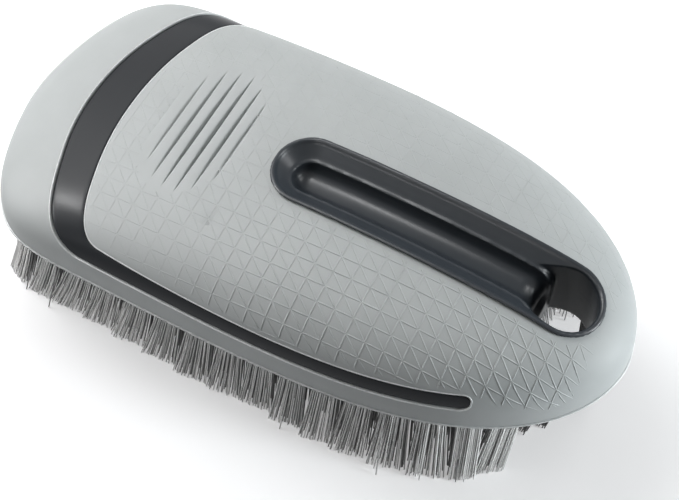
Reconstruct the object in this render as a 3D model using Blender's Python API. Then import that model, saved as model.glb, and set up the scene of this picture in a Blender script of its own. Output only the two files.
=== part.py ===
"""Hand-held carpet brush: a grey soft-grip cover over a black core, a finger well with a through
hole, and a tufted block of grey bristles with a black patch round the nose.

Metres, +Z up. The brush stands on its trimmed bristle tips at z = 0, heel towards -X, nose
towards +X, and the part is symmetrical about the XZ plane.
"""
import math

import bmesh
import bpy
from mathutils import Vector
from mathutils.geometry import delaunay_2d_cdt, intersect_line_line_2d

MM = 0.001

# Outline of the body seen from above
BODY_LENGTH = 170.0 * MM
BODY_WIDTH = 82.8 * MM
WIDEST_X = -34.0 * MM
HEEL_PLAN_POWER = 6.0
HEEL_PLAN_ROOT = 1.2
NOSE_PLAN_POWER = 3.65
NOSE_PLAN_ROOT = 1.85

# Dome over that outline
RIM_HEIGHT = 25.8 * MM
RIM_TILT = 2.8 * MM
RIM_BOW = 1.5 * MM
DOME_RISE = 25.75 * MM
HIGHEST_X = 10.4 * MM
HEEL_DOME_POWER = 1.5
HEEL_DOME_ROOT = 2.5
NOSE_DOME_POWER = 2.13
NOSE_DOME_ROOT = 3.46
SECTION_POWER = 2.57
SECTION_ROOT = 3.65

# Walls and clearances
FIT_GAP = 0.3 * MM
COVER_WALL = 2.0 * MM
CORE_WALL = 1.7 * MM
RIM_ROLL = 0.7 * MM
LAND_RECESS = 0.5 * MM

# Window in the cover: a band over the heel that turns into a stripe along each side
BAND_HEEL_MARGIN = 19.75 * MM
BAND_HEEL_BOW = 7.8 * MM
BAND_LENGTH = 11.65 * MM
BAND_NOSE_BOW = 5.6 * MM
BAND_BOW_AT = 30.0 * MM
BAND_FOOT = 14.0 * MM
STRIPE_FOOT = 8.7 * MM
STRIPE_WIDTH = 4.7 * MM
STRIPE_NOSE_MARGIN = 26.8 * MM
OUTER_CORNER_MARGIN = 9.6 * MM
OUTER_CORNER_RUN = 12.0 * MM
OUTER_CORNER_RISE = 10.0 * MM
INNER_CORNER_MARGIN = 13.6 * MM
INNER_CORNER_RUN = 8.3 * MM
INNER_CORNER_RISE = 5.3 * MM
SIDE_CUT_FROM_Y = 29.0 * MM

# Palm grooves in the cover
GROOVE_MARGIN = 13.6 * MM
GROOVE_PITCH = 3.65 * MM
GROOVE_HALF_LENGTHS = (14.5 * MM, 17.0 * MM, 18.4 * MM, 18.9 * MM, 16.5 * MM, 12.5 * MM)
GROOVE_WIDTH = 1.7 * MM
GROOVE_DEPTH = 1.1 * MM
GROOVE_END = 0.02

# Finger well
WELL_HEEL_MARGIN = 10.15 * MM
WELL_NOSE_MARGIN = 8.7 * MM
LIP_RADIUS = 9.83 * MM
LIP_OVERHANG = 0.75 * MM
LIP_EDGE = 0.35 * MM
LIP_CROWN = 0.75 * MM
LIP_INNER_RADIUS = 8.6 * MM
DISH_SLOPE_RADIUS = 6.2 * MM
DISH_SLOPE_DEPTH = 1.8 * MM
LEDGE_RADIUS = 5.2 * MM
LEDGE_DEPTH = 2.6 * MM
CHANNEL_RADIUS = 4.4 * MM
CHANNEL_DEPTH = 4.2 * MM
CHANNEL_EDGE_ROUND = 0.7 * MM
CHANNEL_FULLNESS = 0.8
TUB_DEPTH = 9.6 * MM
TUB_ROUND = 2.4 * MM
HOLE_STRAIGHT = 4.97 * MM
ROLL_RADIUS = 7.0 * MM
HOLE_RADIUS = 8.1 * MM
SLEEVE_WALL = 0.85 * MM
SNAP_HEIGHT = 0.9 * MM
SNAP_LENGTH = 14.0 * MM
SNAP_MARGIN = 27.6 * MM

# Brush block and its tuft strips
BLOCK_PROUD = 1.0 * MM
BLOCK_TOP = 6.0 * MM
STRIP_THICKNESS = 2.6 * MM
BLOCK_SKIRT = 1.0 * MM

# Tufts
ROW_COUNT = 15
FIRST_ROW_MARGIN = 9.6 * MM
EDGE_COUNT = 17
TUFT_PITCH = 9.2 * MM
TUFT_EDGE_INSET = 2.6 * MM
TUFT_ROOT_RADIUS = 1.45 * MM
TUFT_TIP_RADIUS = 2.75 * MM
ROW_TURN = 0.35
TUFT_TURN = 0.6
OUTER_STRANDS = 5
INNER_STRANDS = 3
STRAND_RADIUS = 0.55 * MM
STRAND_SIDES = 3
KEEP_INSIDE = 1
SPLAY_ALONG = 1.065
SPLAY_ACROSS = 1.22
NOSE_RING_ANGLES = (16.0, 42.0, 68.0)
NOSE_ROOT_RADIUS = 0.75 * MM
NOSE_TIP_RADIUS = 1.5 * MM
NOSE_STRANDS = 4

# Screws that pull the block up to the core
SCREW_ROWS = (3, 11)
SCREW_HEAD_RADIUS = 2.1 * MM
SCREW_HEAD_HEIGHT = 1.5 * MM
SCREW_HEAD_ROUND = 0.6 * MM
SCREW_RADIUS = 1.2 * MM
SCREW_LENGTH = 9.0 * MM
BOSS_RADIUS = 3.3 * MM

# Facets
AROUND = 68
STADIUM_ARC = 12
CHANNEL_ARC = 6
CHANNEL_ROLL = 6
HOLE_ROLL = 7
LEVEL_ANGLES = (0.7, 2.7, 6.5, 12.0, 19.5, 29.0, 41.0, 54.0, 67.5, 80.0)
TURNED_SIDES = 16
GROOVE_STATIONS = 13
WINDOW_STEPS = 12
CORNER_STEPS = 7
FINE_STEPS = 900
SHARP_DEGREES = 32.0
SLIVER = 0.001 * MM

HALF_LENGTH = BODY_LENGTH / 2
BAND_HEEL_X = BAND_HEEL_MARGIN - HALF_LENGTH
BAND_NOSE_X = BAND_HEEL_X + BAND_LENGTH
OUTER_CORNER_X = BAND_NOSE_X + OUTER_CORNER_MARGIN
INNER_CORNER_X = BAND_NOSE_X + INNER_CORNER_MARGIN
STRIPE_END_X = HALF_LENGTH - STRIPE_NOSE_MARGIN
GROOVE_FIRST_X = BAND_NOSE_X + GROOVE_MARGIN
GROOVE_LAST_X = GROOVE_FIRST_X + GROOVE_PITCH * (len(GROOVE_HALF_LENGTHS) - 1)
WELL_HEEL_X = GROOVE_LAST_X + WELL_HEEL_MARGIN
WELL_NOSE_X = HALF_LENGTH - WELL_NOSE_MARGIN
SNAP_X = WELL_HEEL_X + SNAP_MARGIN
WELL_HEEL_CENTRE_X = WELL_HEEL_X + LIP_RADIUS
WELL_NOSE_CENTRE_X = WELL_NOSE_X - LIP_RADIUS
TUB_RADIUS = LIP_RADIUS - LIP_OVERHANG
WELL_CUT_RADIUS = TUB_RADIUS + FIT_GAP
HOLE_HEEL_X = WELL_NOSE_CENTRE_X - HOLE_STRAIGHT
ROLL_START_X = HOLE_HEEL_X - ROLL_RADIUS
CORE_INSET = COVER_WALL + FIT_GAP
CAVITY_INSET = CORE_INSET + CORE_WALL
BLOCK_INSET = CAVITY_INSET + FIT_GAP
STRIP_INSET = BLOCK_INSET + BLOCK_SKIRT + FIT_GAP
STRIP_TOP = STRIP_THICKNESS - BLOCK_PROUD
WEB_FOOT = STRIP_TOP + FIT_GAP
STRIP_CLEAR = TUB_RADIUS + 2.0 * FIT_GAP
NOSE_STRIP_HEEL_X = WELL_NOSE_CENTRE_X + FIT_GAP
TUFT_REACH = TUFT_ROOT_RADIUS + STRAND_RADIUS


def clear_scene():
    for thing in list(bpy.data.objects):
        bpy.data.objects.remove(thing, do_unlink=True)


def make_material(name, colour, roughness, metallic=0.0):
    material = bpy.data.materials.new(name)
    material.use_nodes = True
    shader = material.node_tree.nodes["Principled BSDF"]
    shader.inputs["Base Color"].default_value = (*colour, 1.0)
    shader.inputs["Roughness"].default_value = roughness
    shader.inputs["Metallic"].default_value = metallic
    material.diffuse_color = (*colour, 1.0)
    return material


def add_object(name, mesh_data, material=None):
    """Link a bmesh as an object with flat triangles that point out, which exact Booleans need."""
    bmesh.ops.triangulate(mesh_data, faces=mesh_data.faces)
    bmesh.ops.recalc_face_normals(mesh_data, faces=mesh_data.faces)
    mesh = bpy.data.meshes.new(name)
    mesh_data.to_mesh(mesh)
    mesh_data.free()
    thing = bpy.data.objects.new(name, mesh)
    bpy.context.scene.collection.objects.link(thing)
    if material:
        mesh.materials.append(material)
    return thing


def smooth(thing, degrees=SHARP_DEGREES):
    thing.data.shade_smooth()
    thing.data.set_sharp_from_angle(angle=math.radians(degrees))


def strip_cap(solid, loop, mirror):
    """Close a loop with strips across it; corner i lies opposite corner mirror - i."""
    count = len(loop)
    start = math.ceil(mirror / 2)
    for step in range(start, start + count // 2):
        corners = [step, step + 1, mirror - step - 1, mirror - step]
        face = dict.fromkeys(loop[corner % count] for corner in corners)
        if len(face) > 2:
            solid.faces.new(face)


def fan_cap(solid, loop, middle):
    apex = solid.verts.new(middle)
    for start, end in zip(loop, loop[1:] + loop[:1]):
        solid.faces.new((start, end, apex))


def wall(solid, loops):
    """Quads between loops of equally many points."""
    for lower, upper in zip(loops, loops[1:]):
        for index in range(len(lower)):
            following = (index + 1) % len(lower)
            solid.faces.new((lower[index], lower[following], upper[following], upper[index]))


def loft(rings, mirror=0):
    """Closed solid through rings of equally many points, its two ends capped by strips."""
    solid = bmesh.new()
    loops = [[solid.verts.new(point) for point in ring] for ring in rings]
    wall(solid, loops)
    strip_cap(solid, loops[0], mirror)
    strip_cap(solid, loops[-1], mirror)
    return solid


def prism(outline, direction):
    """Extrude a closed outline of 3-D points along a direction."""
    solid = bmesh.new()
    face = solid.faces.new([solid.verts.new(point) for point in outline])
    moved = bmesh.ops.extrude_face_region(solid, geom=[face])
    top = [part for part in moved["geom"] if isinstance(part, bmesh.types.BMVert)]
    bmesh.ops.translate(solid, verts=top, vec=direction)
    return solid


def combine(target, tool, operation):
    """Apply an exact Boolean of two objects to the first and drop the second."""
    tool.hide_render = True
    tool.display_type = "WIRE"
    modifier = target.modifiers.new(operation.title(), "BOOLEAN")
    modifier.operation = operation
    modifier.solver = "EXACT"
    modifier.object = tool
    bpy.context.view_layer.update()
    graph = bpy.context.evaluated_depsgraph_get()
    result = bpy.data.meshes.new_from_object(target.evaluated_get(graph))
    cleaned = bmesh.new()
    cleaned.from_mesh(result)
    bmesh.ops.dissolve_degenerate(cleaned, dist=SLIVER, edges=cleaned.edges)
    cleaned.to_mesh(result)
    cleaned.free()
    target.modifiers.clear()
    old = target.data
    target.data = result
    bpy.data.meshes.remove(old)
    bpy.data.objects.remove(tool, do_unlink=True)


def spread(start, end, count):
    return [start + (end - start) * step / (count - 1) for step in range(count)]


def falloff(distance, reach, power, root):
    share = min(max(distance / reach, 0.0), 1.0)
    return (1.0 - share ** power) ** (1.0 / root)


def half_width(x, inset=0.0):
    """Half the plan width at x, for the outline moved in by inset."""
    reach = HALF_LENGTH - inset
    if x < WIDEST_X:
        share = falloff(WIDEST_X - x, WIDEST_X + reach, HEEL_PLAN_POWER, HEEL_PLAN_ROOT)
    else:
        share = falloff(x - WIDEST_X, reach - WIDEST_X, NOSE_PLAN_POWER, NOSE_PLAN_ROOT)
    return (BODY_WIDTH / 2 - inset) * share


def dome_rise(x, inset=0.0):
    reach = HALF_LENGTH - inset
    if x < HIGHEST_X:
        share = falloff(HIGHEST_X - x, HIGHEST_X + reach, HEEL_DOME_POWER, HEEL_DOME_ROOT)
    else:
        share = falloff(x - HIGHEST_X, reach - HIGHEST_X, NOSE_DOME_POWER, NOSE_DOME_ROOT)
    return (DOME_RISE - inset) * share


def rim_z(x):
    share = x / HALF_LENGTH
    return RIM_HEIGHT + RIM_TILT * share + RIM_BOW * share * share


def dome_z(x, y, inset=0.0):
    """Height of the dome moved in by inset, over a point of the plan."""
    across = half_width(x, inset)
    share = min(abs(y) / across, 1.0) if across > 0.0 else 1.0
    return rim_z(x) + dome_rise(x, inset) * (1.0 - share ** SECTION_POWER) ** (1.0 / SECTION_ROOT)


def plan_outline(inset=0.0, count=AROUND):
    """Points evenly spaced along the plan outline, from the nose tip round by +Y."""
    reach = HALF_LENGTH - inset
    fine = [reach * math.cos(math.pi * step / FINE_STEPS) for step in range(FINE_STEPS + 1)]
    side = [Vector((x, half_width(x, inset), 0.0)) for x in fine]
    lengths = [0.0]
    for start, end in zip(side, side[1:]):
        lengths.append(lengths[-1] + (end - start).length)
    half_count = count // 2
    points = []
    place = 0
    for step in range(half_count + 1):
        target = lengths[-1] * step / half_count
        while place < len(lengths) - 2 and lengths[place + 1] < target:
            place += 1
        share = (target - lengths[place]) / (lengths[place + 1] - lengths[place])
        points.append(side[place].lerp(side[place + 1], min(share, 1.0)))
    mirrored = [Vector((point.x, -point.y, 0.0)) for point in points[-2:0:-1]]
    return points + mirrored


def dome_rings(inset, angles=LEVEL_ANGLES):
    """Rings of the dome from the rim up to near the top, each a scaled copy of the outline."""
    outline = plan_outline(inset)
    centre = Vector((HIGHEST_X, 0.0, 0.0))
    rings = []
    for angle in angles:
        scale = math.cos(math.radians(angle)) ** (2.0 / SECTION_POWER)
        ring = []
        for point in outline:
            place = centre.lerp(point, scale)
            ring.append(Vector((place.x, place.y, dome_z(place.x, place.y, inset))))
        rings.append(ring)
    return rings


def flat_ring(inset, above_rim):
    return [Vector((p.x, p.y, rim_z(p.x) + above_rim)) for p in plan_outline(inset)]


def crown(inset):
    return Vector((HIGHEST_X, 0.0, dome_z(HIGHEST_X, 0.0, inset)))


def dome_solid(name, inset, feet=()):
    """The whole space under the dome moved in by inset, with any rings that go on below it."""
    rings = list(feet) + [flat_ring(inset, 0.0)] + dome_rings(inset)
    solid = bmesh.new()
    loops = [[solid.verts.new(point) for point in ring] for ring in rings]
    wall(solid, loops)
    strip_cap(solid, loops[0], 0)
    fan_cap(solid, loops[-1], crown(inset))
    return add_object(name, solid)


def dome_shell(name, inset, thickness, material):
    """Open shell: up the outside from a rolled rim, and back down the inside."""
    within = inset + thickness
    outer = [flat_ring(inset + RIM_ROLL, 0.0), flat_ring(inset, RIM_ROLL)] + dome_rings(inset)
    inner = [flat_ring(within, 0.0)] + dome_rings(within)
    solid = bmesh.new()
    loops = [[solid.verts.new(point) for point in ring] for ring in inner[::-1] + outer]
    wall(solid, loops)
    fan_cap(solid, loops[0], crown(within))
    fan_cap(solid, loops[-1], crown(inset))
    return add_object(name, solid, material)


def band_prism(ease):
    """Upright prism of the band's plan shape; ease shrinks it on every side."""
    reach = BODY_WIDTH / 2
    ys = spread(-reach, reach, 2 * WINDOW_STEPS)
    heel = [(BAND_HEEL_X + BAND_HEEL_BOW * (y / BAND_BOW_AT) ** 2 + ease, y) for y in ys]
    nose = [(BAND_NOSE_X + BAND_NOSE_BOW * (y / BAND_BOW_AT) ** 2 - ease, y) for y in reversed(ys)]
    foot = rim_z(BAND_HEEL_X) + BAND_FOOT + ease
    outline = [Vector((x, y, foot)) for x, y in heel + nose]
    return add_object("band_tool", prism(outline, Vector((0.0, 0.0, BODY_WIDTH))))


def stripe_prism(side, ease):
    """Prism of the side view: the band's foot turning through a rounded corner into the stripe."""
    tip_radius = STRIPE_WIDTH / 2 - ease
    tip_x = STRIPE_END_X - STRIPE_WIDTH / 2
    middle = STRIPE_FOOT + STRIPE_WIDTH / 2
    outline = []
    for turn in spread(math.pi / 2, -math.pi / 2, CORNER_STEPS + 2):
        x = tip_x + tip_radius * math.cos(turn)
        outline.append((x, middle + tip_radius * math.sin(turn)))
    for x in spread(tip_x, OUTER_CORNER_X, WINDOW_STEPS)[1:]:
        outline.append((x, STRIPE_FOOT + ease))
    for turn in spread(0.0, math.pi / 2, CORNER_STEPS + 1)[1:]:
        x = OUTER_CORNER_X - (OUTER_CORNER_RUN - ease) * math.sin(turn)
        outline.append((x, STRIPE_FOOT + ease + OUTER_CORNER_RISE * (1.0 - math.cos(turn))))
    for turn in spread(0.0, math.pi / 2, CORNER_STEPS):
        x = INNER_CORNER_X - (INNER_CORNER_RUN + ease) * math.cos(turn)
        rise = INNER_CORNER_RISE * (1.0 - math.sin(turn))
        outline.append((x, STRIPE_FOOT + STRIPE_WIDTH - ease + rise))
    for x in spread(INNER_CORNER_X, tip_x, WINDOW_STEPS)[1:-1]:
        outline.append((x, STRIPE_FOOT + STRIPE_WIDTH - ease))
    start = side * SIDE_CUT_FROM_Y
    points = [Vector((x, start, rim_z(x) + above)) for x, above in outline]
    return add_object("stripe_tool", prism(points, Vector((0.0, side * BODY_WIDTH / 2, 0.0))))


def stadium(radius):
    """Plan points of a slot outline: two round ends joined by straight sides."""
    heel_centre, nose_centre = WELL_HEEL_CENTRE_X, WELL_NOSE_CENTRE_X
    points = []
    for step in range(STADIUM_ARC + 1):
        turn = -math.pi / 2 + math.pi * step / STADIUM_ARC
        points.append((nose_centre + radius * math.cos(turn), radius * math.sin(turn)))
    points += [(x, radius) for x in spread(nose_centre, heel_centre, WINDOW_STEPS)[1:-1]]
    for step in range(STADIUM_ARC + 1):
        turn = math.pi / 2 + math.pi * step / STADIUM_ARC
        points.append((heel_centre + radius * math.cos(turn), radius * math.sin(turn)))
    points += [(x, -radius) for x in spread(heel_centre, nose_centre, WINDOW_STEPS)[1:-1]]
    return points


def draped(radius, above):
    """A slot outline laid on the dome, raised by above."""
    return [Vector((x, y, dome_z(x, y) + above)) for x, y in stadium(radius)]


def along_ridge(radius, below):
    """A slot outline that follows the dome's ridge line, below it by a depth."""
    return [Vector((x, y, dome_z(x, 0.0) - below)) for x, y in stadium(radius)]


def well_cut():
    """Upright slot through cover and core that the tub drops into."""
    top = HALF_LENGTH
    rings = [[Vector((x, y, z)) for x, y in stadium(WELL_CUT_RADIUS)] for z in (0.0, top)]
    return add_object("well_tool", loft(rings, STADIUM_ARC))


def groove_tool(x, half_length):
    """Slender four-sided spindle that lies in the surface and cuts one palm groove."""
    rings = []
    for y in spread(-half_length, half_length, GROOVE_STATIONS):
        swell = max(1.0 - (y / half_length) ** 2, GROOVE_END)
        z = dome_z(x, y)
        wide = GROOVE_WIDTH / 2 * swell
        deep = GROOVE_DEPTH * swell
        rings.append([Vector((x, y, z - deep)), Vector((x + wide, y, z)),
                      Vector((x, y, z + deep)), Vector((x - wide, y, z))])
    return add_object("groove_tool", loft(rings))


def build_grip_cover(material):
    cover = dome_shell("grip_cover", 0.0, COVER_WALL, material)
    for tool in (stripe_prism(-1, 0.0), stripe_prism(1, 0.0), band_prism(0.0), well_cut()):
        combine(cover, tool, "DIFFERENCE")
    for index, half_length in enumerate(GROOVE_HALF_LENGTHS):
        tool = groove_tool(GROOVE_FIRST_X + GROOVE_PITCH * index, half_length)
        combine(cover, tool, "DIFFERENCE")
    smooth(cover)
    return cover


def turned(centre_x, centre_y, profile):
    """Solid of revolution about an upright axis; profile holds (radius, z) from foot to top."""
    rings = []
    for radius, z in profile:
        ring = []
        for step in range(TURNED_SIDES):
            turn = math.tau * step / TURNED_SIDES
            ring.append(Vector((centre_x + radius * math.cos(turn),
                                centre_y + radius * math.sin(turn), z)))
        rings.append(ring)
    return loft(rings)


def edge_places():
    """Middles of the outermost tufts on the far side, evenly pitched along the outline.

    They keep the same distance from the pocket wall and end short of the nose strips.
    """
    reach = HALF_LENGTH - STRIP_INSET
    fine = [-reach * math.cos(math.pi * step / FINE_STEPS) for step in range(FINE_STEPS + 1)]
    outline = [Vector((x, half_width(x, STRIP_INSET))) for x in fine]
    path = []
    for before, after in zip(outline, outline[2:]):
        along = (after - before).normalized()
        path.append((before + after) / 2 + Vector((along.y, -along.x)) * TUFT_EDGE_INSET)
    first_x = FIRST_ROW_MARGIN - reach
    last_x = NOSE_STRIP_HEEL_X - FIT_GAP - TUFT_EDGE_INSET
    path = [point for point in path if first_x < point.x < last_x]
    runs = [0.0]
    for start, end in zip(path, path[1:]):
        runs.append(runs[-1] + (end - start).length)
    places = []
    place = 0
    for target in spread(0.0, runs[-1], EDGE_COUNT):
        while place < len(runs) - 2 and runs[place + 1] < target:
            place += 1
        share = (target - runs[place]) / (runs[place + 1] - runs[place])
        places.append(path[place].lerp(path[place + 1], share))
    return places


def row_tufts(index):
    """Middles of the tufts of one row, evenly pitched between its two outer ones."""
    outer = edge_places()[index]
    gaps = max(round(2.0 * outer.y / TUFT_PITCH), 1)
    return [Vector((outer.x, y)) for y in spread(-outer.y, outer.y, gaps + 1)]


def screw_places():
    """Screws stand halfway between two tufts of a row, a quarter of the row in."""
    places = []
    for row in SCREW_ROWS:
        tufts = row_tufts(row)
        inner = len(tufts) // 4
        middle = (tufts[inner] + tufts[inner - 1]) / 2
        places += [(middle.x, middle.y), (middle.x, -middle.y)]
    return places


def screw_seat(x):
    """Level of the underside of a screw's head, in the counterbore of the block's web."""
    return rim_z(x) + WEB_FOOT + SCREW_HEAD_HEIGHT


def build_core_housing(material):
    """Hollow core whose raised land fills the window in the cover."""
    core = dome_solid("core_housing", CORE_INSET)
    core.data.materials.append(material)
    for tool in (stripe_prism(-1, FIT_GAP), stripe_prism(1, FIT_GAP), band_prism(FIT_GAP)):
        combine(core, tool, "UNION")
    land_feet = [flat_ring(LAND_RECESS, -BLOCK_TOP)]
    combine(core, dome_solid("land_tool", LAND_RECESS, land_feet), "INTERSECT")
    cavity_feet = [flat_ring(CAVITY_INSET, -BLOCK_TOP)]
    combine(core, dome_solid("cavity_tool", CAVITY_INSET, cavity_feet), "DIFFERENCE")
    for x, y in screw_places():
        foot = rim_z(x) + BLOCK_TOP + FIT_GAP
        top = dome_z(x, y, CORE_INSET) - CORE_WALL / 2
        pilot = SCREW_RADIUS + FIT_GAP
        end = screw_seat(x) + SCREW_LENGTH + 2.0 * FIT_GAP
        boss = turned(x, y, [(pilot, end), (pilot, foot),
                             (BOSS_RADIUS, foot), (BOSS_RADIUS, top)])
        combine(core, add_object("boss_tool", boss), "UNION")
    combine(core, well_cut(), "DIFFERENCE")
    smooth(core)
    return core


def sleeve_outline(grow):
    """Plan of the sleeve round the through hole: straight towards the heel, round at the nose."""
    radius = HOLE_RADIUS + grow
    heel = HOLE_HEEL_X - grow
    points = [(heel, -radius)]
    for step in range(STADIUM_ARC + 1):
        turn = -math.pi / 2 + math.pi * step / STADIUM_ARC
        points.append((WELL_NOSE_CENTRE_X + radius * math.cos(turn), radius * math.sin(turn)))
    points.append((heel, radius))
    return points


def block_foot(x):
    return rim_z(x) - BLOCK_PROUD


def snap_rib(side):
    """Wedge on the tub's wall that catches under the core."""
    x = SNAP_X
    under = dome_z(x, WELL_CUT_RADIUS, CAVITY_INSET) - FIT_GAP
    wall = TUB_RADIUS - FIT_GAP
    outline = [(wall, under), (TUB_RADIUS + SNAP_HEIGHT, under),
               (TUB_RADIUS, under - 2.0 * SNAP_HEIGHT), (wall, under - 2.0 * SNAP_HEIGHT)]
    points = [Vector((x - SNAP_LENGTH / 2, side * y, z)) for y, z in outline]
    return add_object("snap_tool", prism(points, Vector((SNAP_LENGTH, 0.0, 0.0))))


def well_body():
    """Lip, tub and sleeve before the hollows are cut."""
    tub = loft([
        along_ridge(TUB_RADIUS - TUB_ROUND, TUB_DEPTH),
        along_ridge(TUB_RADIUS - TUB_ROUND * 0.3, TUB_DEPTH - TUB_ROUND * 0.3),
        along_ridge(TUB_RADIUS, TUB_DEPTH - TUB_ROUND),
        draped(TUB_RADIUS, FIT_GAP),
        draped(LIP_RADIUS, FIT_GAP),
        draped(LIP_RADIUS, FIT_GAP + LIP_EDGE),
        draped((LIP_RADIUS + LIP_INNER_RADIUS) / 2, FIT_GAP + LIP_CROWN),
        draped(LIP_INNER_RADIUS, FIT_GAP + LIP_EDGE),
        draped(LIP_INNER_RADIUS - FIT_GAP, 0.0),
    ], STADIUM_ARC)
    body = add_object("finger_well", tub)
    outline = sleeve_outline(SLEEVE_WALL)
    sleeve = loft([
        [Vector((x, y, block_foot(x))) for x, y in outline],
        [Vector((x, y, dome_z(x, 0.0) - LEDGE_DEPTH - 1.5 * CHANNEL_DEPTH)) for x, y in outline],
    ], len(outline) - 1)
    combine(body, add_object("sleeve_tool", sleeve), "UNION")
    for side in (-1, 1):
        combine(body, snap_rib(side), "UNION")
    return body


def dish_tool():
    """Hollow above the ledge, with its sloping wall."""
    return add_object("dish_tool", loft([
        along_ridge(LEDGE_RADIUS, LEDGE_DEPTH),
        along_ridge(DISH_SLOPE_RADIUS, DISH_SLOPE_DEPTH),
        along_ridge(LIP_INNER_RADIUS - FIT_GAP, 0.0),
        along_ridge(LIP_INNER_RADIUS - FIT_GAP, -4.0 * LIP_CROWN),
    ], STADIUM_ARC))


def channel_section():
    """Half section of the channel as (distance from the middle, height over the ledge)."""
    edge = CHANNEL_EDGE_ROUND
    points = [
        (CHANNEL_RADIUS + edge, 2.0 * LEDGE_DEPTH),
        (CHANNEL_RADIUS + edge, edge),
        (CHANNEL_RADIUS + edge / 2, -edge / 6),
    ]
    for step in range(1, CHANNEL_ARC):
        turn = math.pi / 2 * step / CHANNEL_ARC
        across = CHANNEL_RADIUS * math.cos(turn) ** CHANNEL_FULLNESS
        points.append((across, -CHANNEL_DEPTH * math.sin(turn)))
    points.append((0.0, -CHANNEL_DEPTH))
    return points


def ledge_z(x):
    return dome_z(x, 0.0) - LEDGE_DEPTH


def channel_tool():
    """The channel: half its section swept up one side, round the heel end and down the other.

    Towards the nose both sides run level along the well and then roll down into the hole.
    """
    section = channel_section()
    pivot = Vector((ROLL_START_X, 0.0, ledge_z(ROLL_START_X) - ROLL_RADIUS))

    def level_column(x, side):
        return [Vector((x, side * across, ledge_z(x) + height)) for across, height in section]

    def rolled_column(turn, side, drop=0.0):
        column = []
        for across, height in section:
            reach = ROLL_RADIUS + min(height, 1.5 * CHANNEL_EDGE_ROUND)
            place = Vector((reach * math.sin(turn), side * across, reach * math.cos(turn) - drop))
            column.append(pivot + place)
        return column

    def side_columns(side):
        columns = [level_column(x, side) for x in spread(WELL_HEEL_CENTRE_X, ROLL_START_X, WINDOW_STEPS)]
        turns = [math.pi / 2 * step / CHANNEL_ROLL for step in range(1, CHANNEL_ROLL + 1)]
        columns += [rolled_column(turn, side) for turn in turns]
        columns.append(rolled_column(math.pi / 2, side, pivot.z - block_foot(ROLL_START_X) + BLOCK_PROUD))
        return columns

    far, near = side_columns(1), side_columns(-1)
    end = []
    for step in range(1, STADIUM_ARC):
        turn = math.pi / 2 + math.pi * step / STADIUM_ARC
        column = []
        for across, height in section:
            x = WELL_HEEL_CENTRE_X + across * math.cos(turn)
            column.append(Vector((x, across * math.sin(turn), ledge_z(x) + height)))
        end.append(column)
    solid = bmesh.new()
    columns = [[solid.verts.new(point) for point in column] for column in far[::-1] + end + near]
    for left, right in zip(columns, columns[1:]):
        for upper in range(len(section) - 1):
            solid.faces.new((left[upper], left[upper + 1], right[upper + 1], right[upper]))
    for step in range(len(far) - 1):
        solid.faces.new((columns[step][0], columns[step + 1][0],
                         columns[-2 - step][0], columns[-1 - step][0]))
    heel = columns[len(far) - 1:len(far) + len(end) + 1]
    solid.faces.new([column[0] for column in heel])
    solid.faces.new(columns[0] + columns[-1][-2::-1])
    bmesh.ops.remove_doubles(solid, verts=solid.verts, dist=SLIVER / 10)
    return add_object("channel_tool", solid)


def hole_tool():
    """Through hole whose heel side rolls up into the ledge on a round."""
    ledge = ledge_z(ROLL_START_X)
    levels = [(HOLE_HEEL_X, 0.0), (HOLE_HEEL_X, ledge - ROLL_RADIUS)]
    for step in range(1, HOLE_ROLL + 1):
        turn = math.pi / 2 * step / HOLE_ROLL
        levels.append((ROLL_START_X + ROLL_RADIUS * math.cos(turn),
                       ledge - ROLL_RADIUS + ROLL_RADIUS * math.sin(turn)))
    levels.append((ROLL_START_X, ledge + 2.0 * LEDGE_DEPTH))
    rings = []
    for heel, z in levels:
        rings.append([Vector((x if x > HOLE_HEEL_X else heel, y, z))
                      for x, y in sleeve_outline(0.0)])
    return add_object("hole_tool", loft(rings, len(rings[0]) - 1))


def build_finger_well(material):
    well = well_body()
    well.data.materials.append(material)
    for tool in (dish_tool(), channel_tool(), hole_tool()):
        combine(well, tool, "DIFFERENCE")
    smooth(well)
    return well


def build_brush_block(material):
    """Plate that closes the core, with a pocket underneath for the tuft strips."""
    block = dome_solid("brush_block", BLOCK_INSET, [
        flat_ring(BLOCK_INSET + RIM_ROLL, -BLOCK_PROUD),
        flat_ring(BLOCK_INSET, -BLOCK_PROUD + RIM_ROLL),
    ])
    block.data.materials.append(material)
    above = loft([flat_ring(0.0, BLOCK_TOP), flat_ring(0.0, BLOCK_TOP + HALF_LENGTH)])
    combine(block, add_object("above_tool", above), "DIFFERENCE")
    pocket = loft([
        flat_ring(BLOCK_INSET + BLOCK_SKIRT, -3.0 * BLOCK_PROUD),
        flat_ring(BLOCK_INSET + BLOCK_SKIRT, WEB_FOOT),
    ])
    combine(block, add_object("pocket_tool", pocket), "DIFFERENCE")
    outline = sleeve_outline(SLEEVE_WALL + FIT_GAP)
    rings = [[Vector((x, y, z)) for x, y in outline] for z in (0.0, HALF_LENGTH)]
    combine(block, add_object("sleeve_cut", loft(rings, len(outline) - 1)), "DIFFERENCE")
    for x, y in screw_places():
        shoulder = screw_seat(x) + FIT_GAP
        bore = turned(x, y, [
            (SCREW_HEAD_RADIUS + FIT_GAP, 0.0),
            (SCREW_HEAD_RADIUS + FIT_GAP, shoulder),
            (SCREW_RADIUS + FIT_GAP, shoulder),
            (SCREW_RADIUS + FIT_GAP, HALF_LENGTH),
        ])
        combine(block, add_object("bore_tool", bore), "DIFFERENCE")
    smooth(block)
    return block


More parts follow.
